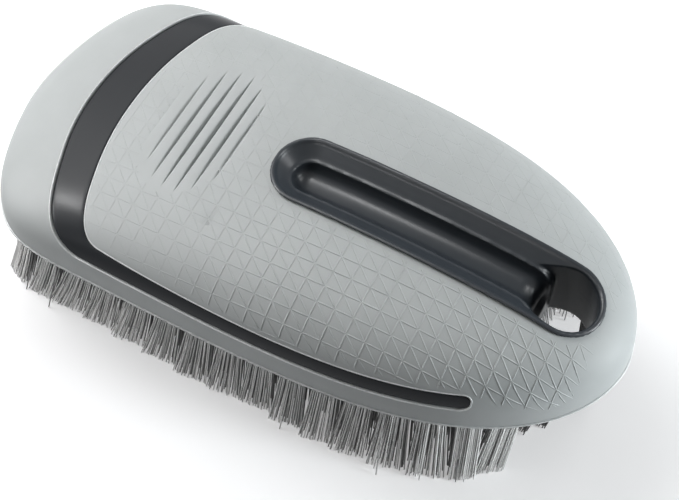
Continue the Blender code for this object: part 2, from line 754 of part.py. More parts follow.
def build_block_screws(material):
    """Four pan-head screws, their heads sunk in the web of the block."""
    for number, (x, y) in enumerate(screw_places(), start=1):
        seat = screw_seat(x)
        screw = turned(x, y, [
            (SCREW_HEAD_RADIUS - SCREW_HEAD_ROUND, seat - SCREW_HEAD_HEIGHT),
            (SCREW_HEAD_RADIUS, seat - SCREW_HEAD_HEIGHT + SCREW_HEAD_ROUND),
            (SCREW_HEAD_RADIUS, seat),
            (SCREW_RADIUS, seat),
            (SCREW_RADIUS, seat + SCREW_LENGTH - SCREW_RADIUS),
            (SCREW_RADIUS / 3, seat + SCREW_LENGTH),
        ])
        smooth(add_object(f"block_screw_{number}", screw, material))


def pocket_side(heel_x, nose_x):
    """Far-side points of the strips' outer edge from one x to another, both ends cut clean."""
    side = [point for point in plan_outline(STRIP_INSET) if point.y >= 0.0][::-1]
    kept = []
    for start, end in zip(side, side[1:]):
        for cut in (heel_x, nose_x):
            if start.x < cut <= end.x:
                kept.append(start.lerp(end, (cut - start.x) / (end.x - start.x)))
        if heel_x < end.x < nose_x:
            kept.append(end)
    return [(point.x, point.y) for point in sorted(kept, key=lambda point: point.x)]


def strip_outline(heel_x, nose_x, side):
    """Plan of one backing strip, its outer ends on the block's pocket wall.

    side 0 spans the whole width; -1 or 1 keeps the half clear of the sleeve.
    """
    far = pocket_side(heel_x, nose_x)
    near = [(x, -y) for x, y in far]
    if side == 0:
        return near + far[::-1]
    if side < 0:
        return near + [(nose_x, -STRIP_CLEAR), (heel_x, -STRIP_CLEAR)]
    return [(heel_x, STRIP_CLEAR), (nose_x, STRIP_CLEAR)] + far[::-1]


def nose_outline(side):
    """Plan of the backing round the nose end of the sleeve, one half of it."""
    edge = FIT_GAP / 2
    outer = pocket_side(NOSE_STRIP_HEEL_X, HALF_LENGTH - STRIP_INSET - edge)
    outer.append((outer[-1][0], edge))
    first = math.asin((NOSE_STRIP_HEEL_X - WELL_NOSE_CENTRE_X) / STRIP_CLEAR)
    last = math.pi / 2 - math.asin(edge / STRIP_CLEAR)
    inner = []
    for turn in spread(last, first, STADIUM_ARC - 3):
        inner.append((WELL_NOSE_CENTRE_X + STRIP_CLEAR * math.sin(turn),
                      STRIP_CLEAR * math.cos(turn)))
    points = outer + inner
    if side < 0:
        return [(x, -y) for x, y in points]
    return points[::-1]


def tuft_strands(centre, count, splay, turn, root_radius=TUFT_ROOT_RADIUS, tip_radius=TUFT_TIP_RADIUS):
    """Root and tip places of one tuft's strands, spread on a ring round its middle."""
    strands = []
    middle = Vector((centre.x * splay[0], centre.y * splay[1]))
    for step in range(count):
        angle = turn + math.tau * step / count
        lean = Vector((math.cos(angle), math.sin(angle)))
        strands.append((centre + lean * root_radius, middle + lean * tip_radius))
    return strands


def strand_ring(middle):
    """Plan corners of one strand."""
    turns = [math.tau * step / STRAND_SIDES for step in range(STRAND_SIDES)]
    return [middle + Vector((math.cos(turn), math.sin(turn))) * STRAND_RADIUS for turn in turns]


def bristle_strip(name, outline, strands, material):
    """A slice of backing with its strands grown out of its underside, as one solid."""
    points = [Vector(place) for place in outline]
    rim = list(range(len(points)))
    _, _, top_faces, *_ = delaunay_2d_cdt(points, [], [rim], KEEP_INSIDE, SLIVER / 10)
    faces = [rim]
    for root, _ in strands:
        faces.append(list(range(len(points), len(points) + STRAND_SIDES)))
        points += strand_ring(root)
    places, _, foot_faces, _, _, origins = delaunay_2d_cdt(points, [], faces, KEEP_INSIDE, SLIVER / 10)
    heel_x = min(point.x for point in places)
    nose_x = max(point.x for point in places)
    slope = (rim_z(nose_x) - rim_z(heel_x)) / (nose_x - heel_x)
    solid = bmesh.new()

    def corner(place, above):
        return solid.verts.new((place.x, place.y, rim_z(heel_x) + slope * (place.x - heel_x) + above))

    lower = [corner(place, -BLOCK_PROUD) for place in places]
    upper = [corner(places[index], STRIP_TOP) for index in rim]
    for face in top_faces:
        solid.faces.new([upper[index] for index in face])
    for start, end in zip(rim, rim[1:] + rim[:1]):
        solid.faces.new((lower[start], lower[end], upper[end], upper[start]))
    for face, origin in zip(foot_faces, origins):
        roots = [source - 1 for source in origin if source > 0]
        if not roots:
            solid.faces.new([lower[index] for index in face])
            continue
        root, tip = strands[roots[0]]
        ends = [places[index] + tip - root for index in face]
        ends = [solid.verts.new((place.x, place.y, 0.0)) for place in ends]
        for step in range(STRAND_SIDES):
            following = (step + 1) % STRAND_SIDES
            solid.faces.new((lower[face[step]], lower[face[following]], ends[following], ends[step]))
        solid.faces.new(ends)
    return add_object(name, solid, material)


def strip_reach(index):
    """Heel and nose ends of a row's backing, halfway to its neighbours."""
    rows = [place.x for place in edge_places()]
    heel_x = -(HALF_LENGTH - STRIP_INSET) + FIT_GAP
    if index > 0:
        heel_x = (rows[index - 1] + rows[index] + FIT_GAP) / 2
    return heel_x, (rows[index] + rows[index + 1] - FIT_GAP) / 2


def build_tuft_row(index, material):
    """One row of tufts right across the block."""
    strands = []
    tufts = row_tufts(index)
    for place, middle in enumerate(tufts):
        outer = place in (0, len(tufts) - 1) or index == 0
        count = OUTER_STRANDS if outer else INNER_STRANDS
        turn = ROW_TURN * index + TUFT_TURN * place
        strands += tuft_strands(middle, count, (SPLAY_ALONG, SPLAY_ACROSS), turn)
    outline = strip_outline(*strip_reach(index), 0)
    return bristle_strip(f"tuft_row_{index + 1:02d}", outline, strands, material)


def build_shoulder_tufts(side, material):
    """Backing beside the sleeve, with the last two edge tufts and one nearer the hole."""
    strands = []
    edge = edge_places()[ROW_COUNT:]
    for place in edge:
        middle = Vector((place.x, side * place.y))
        strands += tuft_strands(middle, OUTER_STRANDS, (SPLAY_ALONG, SPLAY_ACROSS), place.x)
    heel_x = strip_reach(ROW_COUNT - 1)[1] + FIT_GAP
    middle = Vector(((edge[0].x + edge[1].x) / 2, side * (STRIP_CLEAR + TUFT_REACH + FIT_GAP)))
    strands += tuft_strands(middle, INNER_STRANDS, (SPLAY_ALONG, SPLAY_ACROSS), 0.0)
    outline = strip_outline(heel_x, NOSE_STRIP_HEEL_X - FIT_GAP, side)
    suffix = "near" if side < 0 else "far"
    return bristle_strip(f"shoulder_tufts_{suffix}", outline, strands, material)


def ring_room(turn):
    """Middle and half width of the space between sleeve and pocket wall, out from the hole."""
    outline = plan_outline(STRIP_INSET)
    ray = Vector((math.cos(turn), math.sin(turn)))
    reach = HALF_LENGTH
    for start, end in zip(outline, outline[1:]):
        hit = intersect_line_line_2d(Vector((WELL_NOSE_CENTRE_X, 0.0)),
                                     Vector((WELL_NOSE_CENTRE_X, 0.0)) + ray * HALF_LENGTH,
                                     start.to_2d(), end.to_2d())
        if hit:
            reach = (hit - Vector((WELL_NOSE_CENTRE_X, 0.0))).length
            break
    middle = (STRIP_CLEAR + reach) / 2
    return Vector((WELL_NOSE_CENTRE_X, 0.0)) + ray * middle, (reach - STRIP_CLEAR) / 2


def build_nose_tufts(side, material):
    """Upright black tufts in the narrow space between the sleeve and the pocket wall."""
    strands = []
    for angle in NOSE_RING_ANGLES:
        turn = math.radians(angle)
        middle, room = ring_room(turn)
        middle.y *= side
        root_radius = min(NOSE_ROOT_RADIUS, room - STRAND_RADIUS - FIT_GAP / 2)
        strands += tuft_strands(middle, NOSE_STRANDS, (1.0, 1.0), turn, root_radius, NOSE_TIP_RADIUS)
    suffix = "near" if side < 0 else "far"
    return bristle_strip(f"nose_tufts_{suffix}", nose_outline(side), strands, material)


def build():
    clear_scene()
    grey_rubber = make_material("grey_soft_grip", (0.42, 0.44, 0.44), 0.55)
    black_core = make_material("black_satin_plastic", (0.028, 0.029, 0.033), 0.38)
    black_gloss = make_material("black_gloss_plastic", (0.016, 0.017, 0.019), 0.2)
    grey_nylon = make_material("grey_nylon", (0.19, 0.19, 0.19), 0.42)
    black_nylon = make_material("black_nylon", (0.012, 0.012, 0.013), 0.42)
    screw_steel = make_material("zinc_steel", (0.55, 0.55, 0.54), 0.35, 1.0)
    build_grip_cover(grey_rubber)
    build_core_housing(black_core)
    build_finger_well(black_gloss)
    build_brush_block(black_core)
    build_block_screws(screw_steel)
    for index in range(ROW_COUNT):
        build_tuft_row(index, grey_nylon)
    for side in (-1, 1):
        build_shoulder_tufts(side, grey_nylon)
        build_nose_tufts(side, black_nylon)


build()
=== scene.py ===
# %% [markdown]
# # A carpet brush, dressed over its CAD frame
#
# The real object is a hand-held brush for carpets and upholstery. A grey soft-grip cover lies over
# a black core, which shows through a window as a band over the heel and a stripe along each side.
# A long finger well is let into the top, and its nose end goes right through the body. Grey tufts
# stand under the rim, with a few black ones round the nose.
#
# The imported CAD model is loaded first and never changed. Every piece below is made in the same
# frame, in metres, with +X towards the nose and +Z up, so it lands where its CAD node is.

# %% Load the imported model
import math

import bpy
import numpy as np
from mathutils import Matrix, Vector


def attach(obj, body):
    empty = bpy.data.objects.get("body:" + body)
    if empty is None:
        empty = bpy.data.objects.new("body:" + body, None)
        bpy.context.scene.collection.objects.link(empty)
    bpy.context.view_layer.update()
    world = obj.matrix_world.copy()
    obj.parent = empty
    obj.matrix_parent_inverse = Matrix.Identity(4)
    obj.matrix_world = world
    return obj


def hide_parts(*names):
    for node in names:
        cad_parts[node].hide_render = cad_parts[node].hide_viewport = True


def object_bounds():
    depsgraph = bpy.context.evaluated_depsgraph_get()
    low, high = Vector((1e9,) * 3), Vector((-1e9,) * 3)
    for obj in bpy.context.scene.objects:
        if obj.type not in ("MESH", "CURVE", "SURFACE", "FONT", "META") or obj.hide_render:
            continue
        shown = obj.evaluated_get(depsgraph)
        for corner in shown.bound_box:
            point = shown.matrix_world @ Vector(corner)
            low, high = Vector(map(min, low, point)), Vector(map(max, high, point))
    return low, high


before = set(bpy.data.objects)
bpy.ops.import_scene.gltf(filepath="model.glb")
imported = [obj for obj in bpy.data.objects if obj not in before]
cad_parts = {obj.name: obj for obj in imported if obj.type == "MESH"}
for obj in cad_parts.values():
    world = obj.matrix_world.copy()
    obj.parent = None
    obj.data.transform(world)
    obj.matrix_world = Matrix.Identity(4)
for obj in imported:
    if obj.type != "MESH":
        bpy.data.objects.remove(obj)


def in_mm(box):
    return [[round(value * 1000, 1) for value in corner] for corner in box]


cad_box = [list(corner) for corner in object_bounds()]
print("CAD nodes:", len(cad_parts))
print("CAD box in mm:", in_mm(cad_box))

# %% [markdown]
# ## Camera
#
# The brush was photographed from in front of its near side and well above it. The camera's angles,
# distance and lens were fitted to points of its outline. It is turned by the direction to its aim
# point, so no empty is needed as a target, and a small shift moves the picture without turning the
# camera.

# %% Place the camera
MM = 0.001
CAMERA_AZIMUTH = math.radians(29.42)
CAMERA_ELEVATION = math.radians(60.27)
CAMERA_DISTANCE = 414.86 * MM
AIM = Vector((0.0, 0.0, 25.0 * MM))
SENSOR = 36.0
PICTURE_WIDTH, PICTURE_HEIGHT = 679, 500
FOCAL_PIXELS = 1626.75
PICTURE_CENTRE = (316.52, 227.86)

backwards = Vector((
    math.cos(CAMERA_ELEVATION) * math.sin(CAMERA_AZIMUTH),
    -math.cos(CAMERA_ELEVATION) * math.cos(CAMERA_AZIMUTH),
    math.sin(CAMERA_ELEVATION),
))
bpy.ops.object.camera_add(location=AIM + backwards * CAMERA_DISTANCE)
camera = bpy.context.object
camera.name = "photo_camera"
camera.rotation_euler = backwards.to_track_quat("Z", "Y").to_euler()
camera.data.sensor_width = SENSOR
camera.data.lens = FOCAL_PIXELS / PICTURE_WIDTH * SENSOR
camera.data.shift_x = (PICTURE_WIDTH / 2 - PICTURE_CENTRE[0]) / PICTURE_WIDTH
camera.data.shift_y = (PICTURE_CENTRE[1] - PICTURE_HEIGHT / 2) / PICTURE_WIDTH
camera.data.clip_start = 0.01
bpy.context.scene.camera = camera
print("camera at", [round(value, 4) for value in camera.location])

# %% [markdown]
# ## The shape law of the body
#
# Cover, core, band and well all follow one domed form, so its law is written once. From above the
# outline has a blunt heel and a narrower nose. The dome rises steeply from the rim and then runs
# nearly flat over the ridge. Each curve is a power curve, with the full shoulders that an ellipse
# lacks. A sculpted mesh would have been the other way, but four pieces could not share it.

# %% Dimensions of the dome
HALF_LENGTH = 85.0 * MM
HALF_BREADTH = 41.4 * MM
WIDEST_X = -34.0 * MM
HIGHEST_X = 10.4 * MM
RIM_HEIGHT, RIM_TILT, RIM_BOW = 25.8 * MM, 2.8 * MM, 1.5 * MM
DOME_RISE = 25.75 * MM
SECTION = SECTION_POWER, SECTION_ROOT = 2.57, 3.65
HEEL_PLAN, NOSE_PLAN = (6.0, 1.2), (3.65, 1.85)
HEEL_DOME, NOSE_DOME = (1.5, 2.5), (2.13, 3.46)


# %% The law as functions of arrays
def falloff(distance, reach, curve):
    power, root = curve
    share = np.clip(distance / reach, 0.0, 1.0)
    return (1.0 - share ** power) ** (1.0 / root)


def half_width(x, inset=0.0):
    """Half the width at x of the outline moved in by inset."""
    reach = HALF_LENGTH - inset
    heel = falloff(WIDEST_X - x, WIDEST_X + reach, HEEL_PLAN)
    nose = falloff(x - WIDEST_X, reach - WIDEST_X, NOSE_PLAN)
    return (HALF_BREADTH - inset) * np.where(x < WIDEST_X, heel, nose)


def rim_z(x):
    share = x / HALF_LENGTH
    return RIM_HEIGHT + RIM_TILT * share + RIM_BOW * share * share


def dome_z(x, y, inset=0.0):
    """Height of the dome moved in by inset over points of the plan."""
    x, y = np.asarray(x, float), np.asarray(y, float)
    reach = HALF_LENGTH - inset
    heel = falloff(HIGHEST_X - x, HIGHEST_X + reach, HEEL_DOME)
    nose = falloff(x - HIGHEST_X, reach - HIGHEST_X, NOSE_DOME)
    rise = (DOME_RISE - inset) * np.where(x < HIGHEST_X, heel, nose)
    across = np.maximum(half_width(x, inset), 1e-9)
    return rim_z(x) + rise * falloff(np.abs(y), across, SECTION)


def dome_field(points):
    """Zero on the dome and growing outwards, for any points near it."""
    x, y, z = points[..., 0], points[..., 1], points[..., 2]
    rise = np.maximum(dome_z(x, 0.0) - rim_z(x), 1e-6)
    across = np.maximum(np.abs(y) / np.maximum(half_width(x), 1e-6), 0.0) ** SECTION_POWER
    up = np.maximum((z - rim_z(x)) / rise, 0.0) ** SECTION_ROOT
    return (across + up) ** (1.0 / 3.0) - 1.0


def field_slope(points, step=1e-5):
    slopes = []
    for axis in range(3):
        shift = np.zeros(3)
        shift[axis] = step
        slopes.append((dome_field(points + shift) - dome_field(points - shift)) / (2.0 * step))
    return np.stack(slopes, axis=-1)


def dome_normal(points):
    slope = field_slope(points)
    return slope / np.linalg.norm(slope, axis=-1, keepdims=True)


def onto_dome(points):
    """Moves points the short way onto the dome."""
    for _ in range(6):
        slope = field_slope(points)
        size = np.maximum((slope ** 2).sum(axis=-1, keepdims=True), 1e-9)
        points = points - slope * dome_field(points)[..., None] / size
    return points


print("dome top in mm:", round(float(dome_z(30 * MM, 0.0)) * 1000, 2))

# %% [markdown]
# ## Working by operators
#
# A few helpers repeat what is done by hand: make one piece active, apply a modifier, read and
# place the points of a mesh, weld its points and turn its faces outwards. Everything is deselected
# first, because the imported CAD nodes come in selected and an operator acts on all that is
# selected.


# %% Small helpers
def only(piece):
    bpy.ops.object.select_all(action="DESELECT")
    piece.select_set(True)
    bpy.context.view_layer.objects.active = piece


def join_to(piece, other):
    only(piece)
    other.select_set(True)
    bpy.ops.object.join()


def take_new(name):
    """Names the primitive that an operator has just added."""
    piece = bpy.context.object
    piece.name = piece.data.name = name
    return piece


def apply_modifier(piece, kind, **settings):
    only(piece)
    modifier = piece.modifiers.new(kind.title(), kind)
    for setting, value in settings.items():
        setattr(modifier, setting, value)
    bpy.ops.object.modifier_apply(modifier=modifier.name)


def read(parts, attribute, kind=float, size=3):
    """Values of an attribute of a mesh's points, edges or faces, one row for each."""
    flat = np.empty(len(parts) * size, kind)
    parts.foreach_get(attribute, flat)
    return flat.reshape(-1, size)


def points_of(piece):
    return read(piece.data.vertices, "co")


def place_points(piece, points):
    piece.data.vertices.foreach_set("co", np.ascontiguousarray(points, float).ravel())
    piece.data.update()


def select_parts(piece, kind, chosen):
    """Selects exactly the flagged vertices, edges or polygons, for the edit-mode operators."""
    for name in ("vertices", "edges", "polygons"):
        parts = getattr(piece.data, name)
        flags = chosen if name == kind else np.zeros(len(parts))
        parts.foreach_set("select", np.ascontiguousarray(flags, bool))


def in_edit_mode(piece, select_mode, *steps):
    """Runs steps on a piece in edit mode and goes back to object mode."""
    only(piece)
    bpy.ops.object.mode_set(mode="EDIT")
    bpy.ops.mesh.select_mode(type=select_mode)
    for step in steps:
        step()
    bpy.ops.object.mode_set(mode="OBJECT")


def select_all():
    bpy.ops.mesh.select_all(action="SELECT")


def weld():
    """Joins points that lie on one another."""
    select_all()
    bpy.ops.mesh.remove_doubles(threshold=1e-7)


def face_outwards():
    select_all()
    bpy.ops.mesh.normals_make_consistent(inside=False)


def smooth(piece, degrees=35.0):
    only(piece)
    bpy.ops.object.shade_smooth_by_angle(angle=math.radians(degrees))


def tell(piece):
    triangles = sum(len(face.vertices) - 2 for face in piece.data.polygons)
    print(f"{piece.name}: {len(piece.data.vertices)} points, {triangles} triangles")


# %% [markdown]
# ## A dome from a rolled grid
#
# The cover and the core are both domes, so one function makes them. A flat grid is rolled up so
# that its columns run round the outline and its rows climb the section in equal steps, and the
# last row closes into the crown. Half a sphere would do too, but the sphere tool takes many
# seconds at this fineness and the grid takes none.


# %% A grid with numbered points
def grid_sheet(name, columns, rows):
    """A flat grid primitive with the column and row number of each of its points."""
    bpy.ops.mesh.primitive_grid_add(x_subdivisions=columns - 1, y_subdivisions=rows - 1, size=2.0)
    sheet = take_new(name)
    unit = points_of(sheet)
    column = np.rint((unit[:, 0] + 1.0) / 2.0 * (columns - 1)).astype(int)
    row = np.rint((unit[:, 1] + 1.0) / 2.0 * (rows - 1)).astype(int)
    return sheet, column, row


# %% Equal steps round the outline and up the section
def run_length(first, second):
    """Length along a curve up to each of its points."""
    return np.concatenate([[0.0], np.cumsum(np.hypot(np.diff(first), np.diff(second)))])


def outline_side(inset):
    """Fine plan outline of the far side from nose to heel."""
    x = (HALF_LENGTH - inset) * np.cos(np.linspace(0.0, math.pi, 2401))
    return x, half_width(x, inset)


def closed_outline(inset, steps):
    """Plan points of the whole outline, with as many equal steps on each side."""
    side = outline_side(inset)
    run = run_length(*side)
    x, y = (np.interp(np.linspace(0.0, 1.0, steps + 1), run / run[-1], line) for line in side)
    return np.concatenate([x, x[-2:0:-1]]), np.concatenate([y, -y[-2:0:-1]])


def level_scales(levels):
    """Size of each level ring, from 1 at the rim to 0 at the crown."""
    angle = np.linspace(0.0, math.pi / 2, 4001)
    across = np.cos(angle) ** (2.0 / SECTION_POWER)
    run = run_length(HALF_BREADTH * across, DOME_RISE * np.sin(angle) ** (2.0 / SECTION_ROOT))
    turn = np.interp(np.arange(1, levels) / levels, run / run[-1], angle)
    return np.concatenate([[1.0], np.cos(turn) ** (2.0 / SECTION_POWER), [0.0]])


def make_dome(name, inset, segments, levels):
    dome, column, row = grid_sheet(name, segments + 1, levels + 1)
    rim_x, rim_y = (line[column % segments] for line in closed_outline(inset, segments // 2))
    scale = level_scales(levels)[row]
    x = HIGHEST_X + (rim_x - HIGHEST_X) * scale
    y = rim_y * scale
    z = np.where(row == 0, rim_z(rim_x), dome_z(x, y, inset))
    place_points(dome, np.stack([x, y, z], axis=1))
    in_edit_mode(dome, "VERT", weld, face_outwards)
    return dome


# %% [markdown]
# ## The window as a ribbon
#
# The window in the cover is one ribbon: a stripe along the far side that turns up through a
# rounded corner, crosses the heel as a wide band and comes down into the near stripe. So it is
# drawn as pairs of points on its outer and inner edge. A section swept over the pairs makes the
# cutter of the cover, with a flare that rounds the rubber's edge, and a tighter section makes the
# black land inside it. Prisms cut from above would leave steep walls and notches where band and
# stripe meet.

# %% Dimensions of the window
BAND_HEEL_X, BAND_HEEL_BOW = -65.25 * MM, 7.8 * MM
BAND_NOSE_X, BAND_NOSE_BOW = -53.6 * MM, 5.6 * MM
BAND_BOW_AT = 30.0 * MM
STRIPE_FOOT, STRIPE_WIDTH, STRIPE_END_X = 8.7 * MM, 4.7 * MM, 58.2 * MM
BAND_STEPS, CORNER_STEPS, STRIPE_STEPS, TIP_STEPS = 89, 44, 110, 12
# Each corner: its end on the stripe, its height on the band, and its pull at both ends.
OUTER_CORNER = (-44.0 * MM, 19.0 * MM, 5.5 * MM, 7.0 * MM)
INNER_CORNER = (-40.0 * MM, 19.4 * MM, 3.2 * MM, 5.0 * MM)


# %% Edges of the ribbon
def band_edge(start_x, bow, y):
    """Plan curve of one edge of the band, on the dome."""
    x = start_x + bow * (y / BAND_BOW_AT) ** 2
    return np.stack([x, y, dome_z(x, y)], axis=-1)


def side_point(x, above):
    """Point of the far side at a height above the rim."""
    across = falloff(above, dome_z(x, 0.0) - rim_z(x), SECTION[::-1])
    return np.stack([x, half_width(x) * across, rim_z(x) + above], axis=-1)


def corner_curve(band, top, end, pull_top, pull_end):
    """Curve in the side view from the band's edge down into the stripe, smooth at both ends."""
    y = np.linspace(20.0 * MM, 40.0 * MM, 2001)
    edge = band_edge(*band, y)
    side = np.stack([edge[:, 0], edge[:, 2] - rim_z(edge[:, 0])], axis=1)
    place = int(np.argmin(np.abs(side[:, 1] - top)))
    begin, ahead = side[place], side[place + 12] - side[place]
    guides = (begin, begin + ahead / np.linalg.norm(ahead) * pull_top, end - (pull_end, 0.0), end)
    t = np.linspace(0.0, 1.0, CORNER_STEPS + 1)[:, None]
    weights = ((1 - t) ** 3, 3 * (1 - t) ** 2 * t, 3 * (1 - t) * t ** 2, t ** 3)
    return y[place], sum(weight * guide for weight, guide in zip(weights, guides))


def half_edge(band, corner, level, way):
    """One edge of the far half of the ribbon, from the ridge to the stripe's tip."""
    corner_x, top, *pulls = corner
    band_y, curve = corner_curve(band, top, np.array([corner_x, level]), *pulls)
    radius = STRIPE_WIDTH / 2
    tip_x = STRIPE_END_X - radius
    turn = np.linspace(0.0, math.pi / 2, TIP_STEPS + 1)[1:-1]
    tip_level = STRIPE_FOOT + radius + way * radius * np.cos(turn)
    return np.concatenate([
        band_edge(*band, np.linspace(0.0, 1.0, BAND_STEPS + 1)[:-1] * band_y),
        side_point(*curve.T),
        side_point(np.linspace(corner_x, tip_x, STRIPE_STEPS + 1)[1:], level),
        side_point(tip_x + radius * np.sin(turn), tip_level),
    ])


far_outer = half_edge((BAND_HEEL_X, BAND_HEEL_BOW), OUTER_CORNER, STRIPE_FOOT, -1)
far_inner = half_edge((BAND_NOSE_X, BAND_NOSE_BOW), INNER_CORNER, STRIPE_FOOT + STRIPE_WIDTH, 1)
flip = np.array([1.0, -1.0, 1.0])
RIBBON_OUTER = np.concatenate([far_outer[::-1], far_outer[1:] * flip])
RIBBON_INNER = np.concatenate([far_inner[::-1], far_inner[1:] * flip])
print("ribbon stations:", len(RIBBON_OUTER))


# %% A grid rolled up into a closed tube
BACK_SHARES = (0.75, 0.5, 0.25)


def draw_rings(name, rings):
    """Closed solid through rings of equally many points: a grid, rolled up, sewn and capped."""
    rings = np.array(rings)
    skin, column, row = grid_sheet(name, rings.shape[1] + 1, rings.shape[0])
    place_points(skin, rings[row, column % rings.shape[1]])
    in_edit_mode(
        skin, "VERT", weld, select_all,
        lambda: bpy.ops.mesh.fill_holes(sides=0),
        select_all, bpy.ops.mesh.quads_convert_to_tris, face_outwards,
    )
    return skin


def sweep_ribbon(name, edge_section, across_steps, across_height, back_height):
    """Sweeps a section over the ribbon: down one edge, across under it and up the other.

    edge_section holds (distance outwards over the edge, height over the dome) from the top down.
    """
    flare = edge_section[0][0]
    shares = np.linspace(0.0, 1.0, across_steps + 2)[1:-1]
    widths = np.linalg.norm(RIBBON_INNER - RIBBON_OUTER, axis=1)
    rings = []
    for outer, inner, wide in zip(RIBBON_OUTER, RIBBON_INNER, widths):
        toward = (inner - outer) / wide
        outs = [min(max(out, -0.45 * wide), 3.0 * wide) for out, _ in edge_section]
        section = [outer - toward * out for out in reversed(outs)]
        section += [outer + toward * (-flare + (wide + 2.0 * flare) * share) for share in shares]
        section += [inner + toward * out for out in outs]
        section += [outer + toward * wide * share for share in BACK_SHARES]
        rings.append(section)
    edge = [height for _, height in edge_section]
    heights = [*reversed(edge), *[across_height] * across_steps, *edge,
               *[back_height] * len(BACK_SHARES)]
    places = onto_dome(np.array(rings))
    return draw_rings(name, places + dome_normal(places) * np.array(heights)[:, None])


# %% Booleans
def combine(piece, tool, operation):
    """Applies a Boolean with a tool and removes the tool."""
    apply_modifier(piece, "BOOLEAN", operation=operation, solver="MANIFOLD", object=tool)
    bpy.data.objects.remove(tool, do_unlink=True)


# %% Dimensions of the finger well
LIP_RADIUS = 9.83 * MM
WELL_HEEL_CENTRE_X = -1.77 * MM
WELL_NOSE_CENTRE_X = 66.47 * MM
LIP_OVERHANG = 0.75 * MM
TUB_RADIUS = LIP_RADIUS - LIP_OVERHANG
SLOT_RADIUS = TUB_RADIUS + 0.3 * MM


# %% Outlines of the finger well
def stadium(radius, arc_steps=40, side_steps=90):
    """Plan points of a slot outline: two round ends joined by straight sides."""
    nose = np.linspace(-math.pi / 2, math.pi / 2, arc_steps + 1)
    heel = np.linspace(math.pi / 2, 1.5 * math.pi, arc_steps + 1)
    side = np.linspace(WELL_NOSE_CENTRE_X, WELL_HEEL_CENTRE_X, side_steps + 1)[1:-1]
    x = np.concatenate([WELL_NOSE_CENTRE_X + radius * np.cos(nose), side,
                        WELL_HEEL_CENTRE_X + radius * np.cos(heel), side[::-1]])
    y = np.concatenate([radius * np.sin(nose), np.full(len(side), radius),
                        radius * np.sin(heel), np.full(len(side), -radius)])
    return x, y


def ring(x, y, z):
    """Points of a ring in space, from numbers or arrays."""
    x, y = np.broadcast_arrays(x, y)
    return np.stack([x, y, np.broadcast_to(z, x.shape)], axis=1)


def slot_cutter():
    outline = stadium(SLOT_RADIUS)
    return draw_rings("slot_cutter", [ring(*outline, 15.0 * MM), ring(*outline, 65.0 * MM)])


# %% [markdown]
# ## Grip cover
#
# The cover is a soft grey rubber over the core, about 2 mm thick. Solidify gives the dome its
# thickness and Bevel its rolled rim. The palm grooves are sharp slits between pillowed ribs, so
# that part of the dome is replaced by a grid whose lines run along the slits. Bridge Edge Loops
# closes the joint where the dome is still plain.

# %% Cover shell
COVER_WALL, RIM_ROUND = 2.0 * MM, 0.6 * MM

cover = make_dome("grip_cover_skin", 0.0, 360, 66)
apply_modifier(cover, "SOLIDIFY", thickness=COVER_WALL, offset=-1.0, use_even_offset=False)
x, y, z = points_of(cover).T
at_foot = (np.abs(z - rim_z(x)) < 0.02 * MM) & (np.abs(y) > half_width(x) - 0.05 * MM)
select_parts(cover, "edges", at_foot[read(cover.data.edges, "vertices", int, 2)].all(axis=1))
in_edit_mode(
    cover, "EDGE",
    lambda: bpy.ops.mesh.bevel(offset=RIM_ROUND, segments=3, clamp_overlap=False),
    face_outwards,
)
tell(cover)

# %% Room for the palm panel
SLIT_FIRST_X, SLIT_PITCH = -40.0 * MM, 3.65 * MM
SLIT_HALF_LENGTHS = np.array([14.4, 18.1, 19.2, 19.4, 17.2, 12.8]) * MM
SLIT_DEPTHS = np.array([0.6, 1.0, 1.3, 1.35, 1.15, 0.7]) * MM
SLIT_MIDDLE_Y, SLIT_HALF_BREADTH = 0.4 * MM, 0.62 * MM
FAINT_DEPTH, FAINT_HALF_BREADTH, FAINT_REACH = 0.12 * MM, 1.5 * MM, 12.0 * MM
PANEL_HEEL_X, PANEL_NOSE_X, PANEL_REACH = -46.0 * MM, -16.5 * MM, 25.0 * MM
PANEL_STEPS, PANEL_ROOM = 84, 0.7 * MM

x, y, z = read(cover.data.polygons, "center").T
on_panel = (x > PANEL_HEEL_X - PANEL_ROOM) & (x < PANEL_NOSE_X + PANEL_ROOM)
on_panel &= (np.abs(y) < PANEL_REACH + PANEL_ROOM) & (z > dome_z(x, y) - 0.5 * MM)
select_parts(cover, "polygons", on_panel)
in_edit_mode(cover, "FACE", lambda: bpy.ops.mesh.delete(type="FACE"))


# %% Pillowed ribs and slits
def palm_depth(x, y):
    """How far the palm panel lies under the dome: six slits and a faint one before them."""
    depth = np.zeros_like(x)
    for index, half_length in enumerate(SLIT_HALF_LENGTHS):
        along = np.clip(np.abs(y - SLIT_MIDDLE_Y) / half_length, 0.0, 1.0)
        swell = (1.0 - along ** 2) ** 0.8
        away = np.abs(x - SLIT_FIRST_X - SLIT_PITCH * index)
        pillow = 0.22 * np.clip(1.0 - away / (SLIT_PITCH / 2), 0.0, 1.0) ** 2
        breadth = SLIT_HALF_BREADTH * (0.25 + 0.75 * swell)
        slit = np.clip(1.0 - away / breadth, 0.0, 1.0) ** 1.4
        depth = np.maximum(depth, SLIT_DEPTHS[index] * swell * (pillow + 0.8 * slit))
    away = np.abs(x - SLIT_FIRST_X + SLIT_PITCH)
    faint = np.clip(1.0 - away / FAINT_HALF_BREADTH, 0.0, 1.0) ** 2
    faint_along = np.clip(1.0 - (y / FAINT_REACH) ** 2, 0.0, 1.0)
    return np.maximum(depth, FAINT_DEPTH * faint * faint_along)


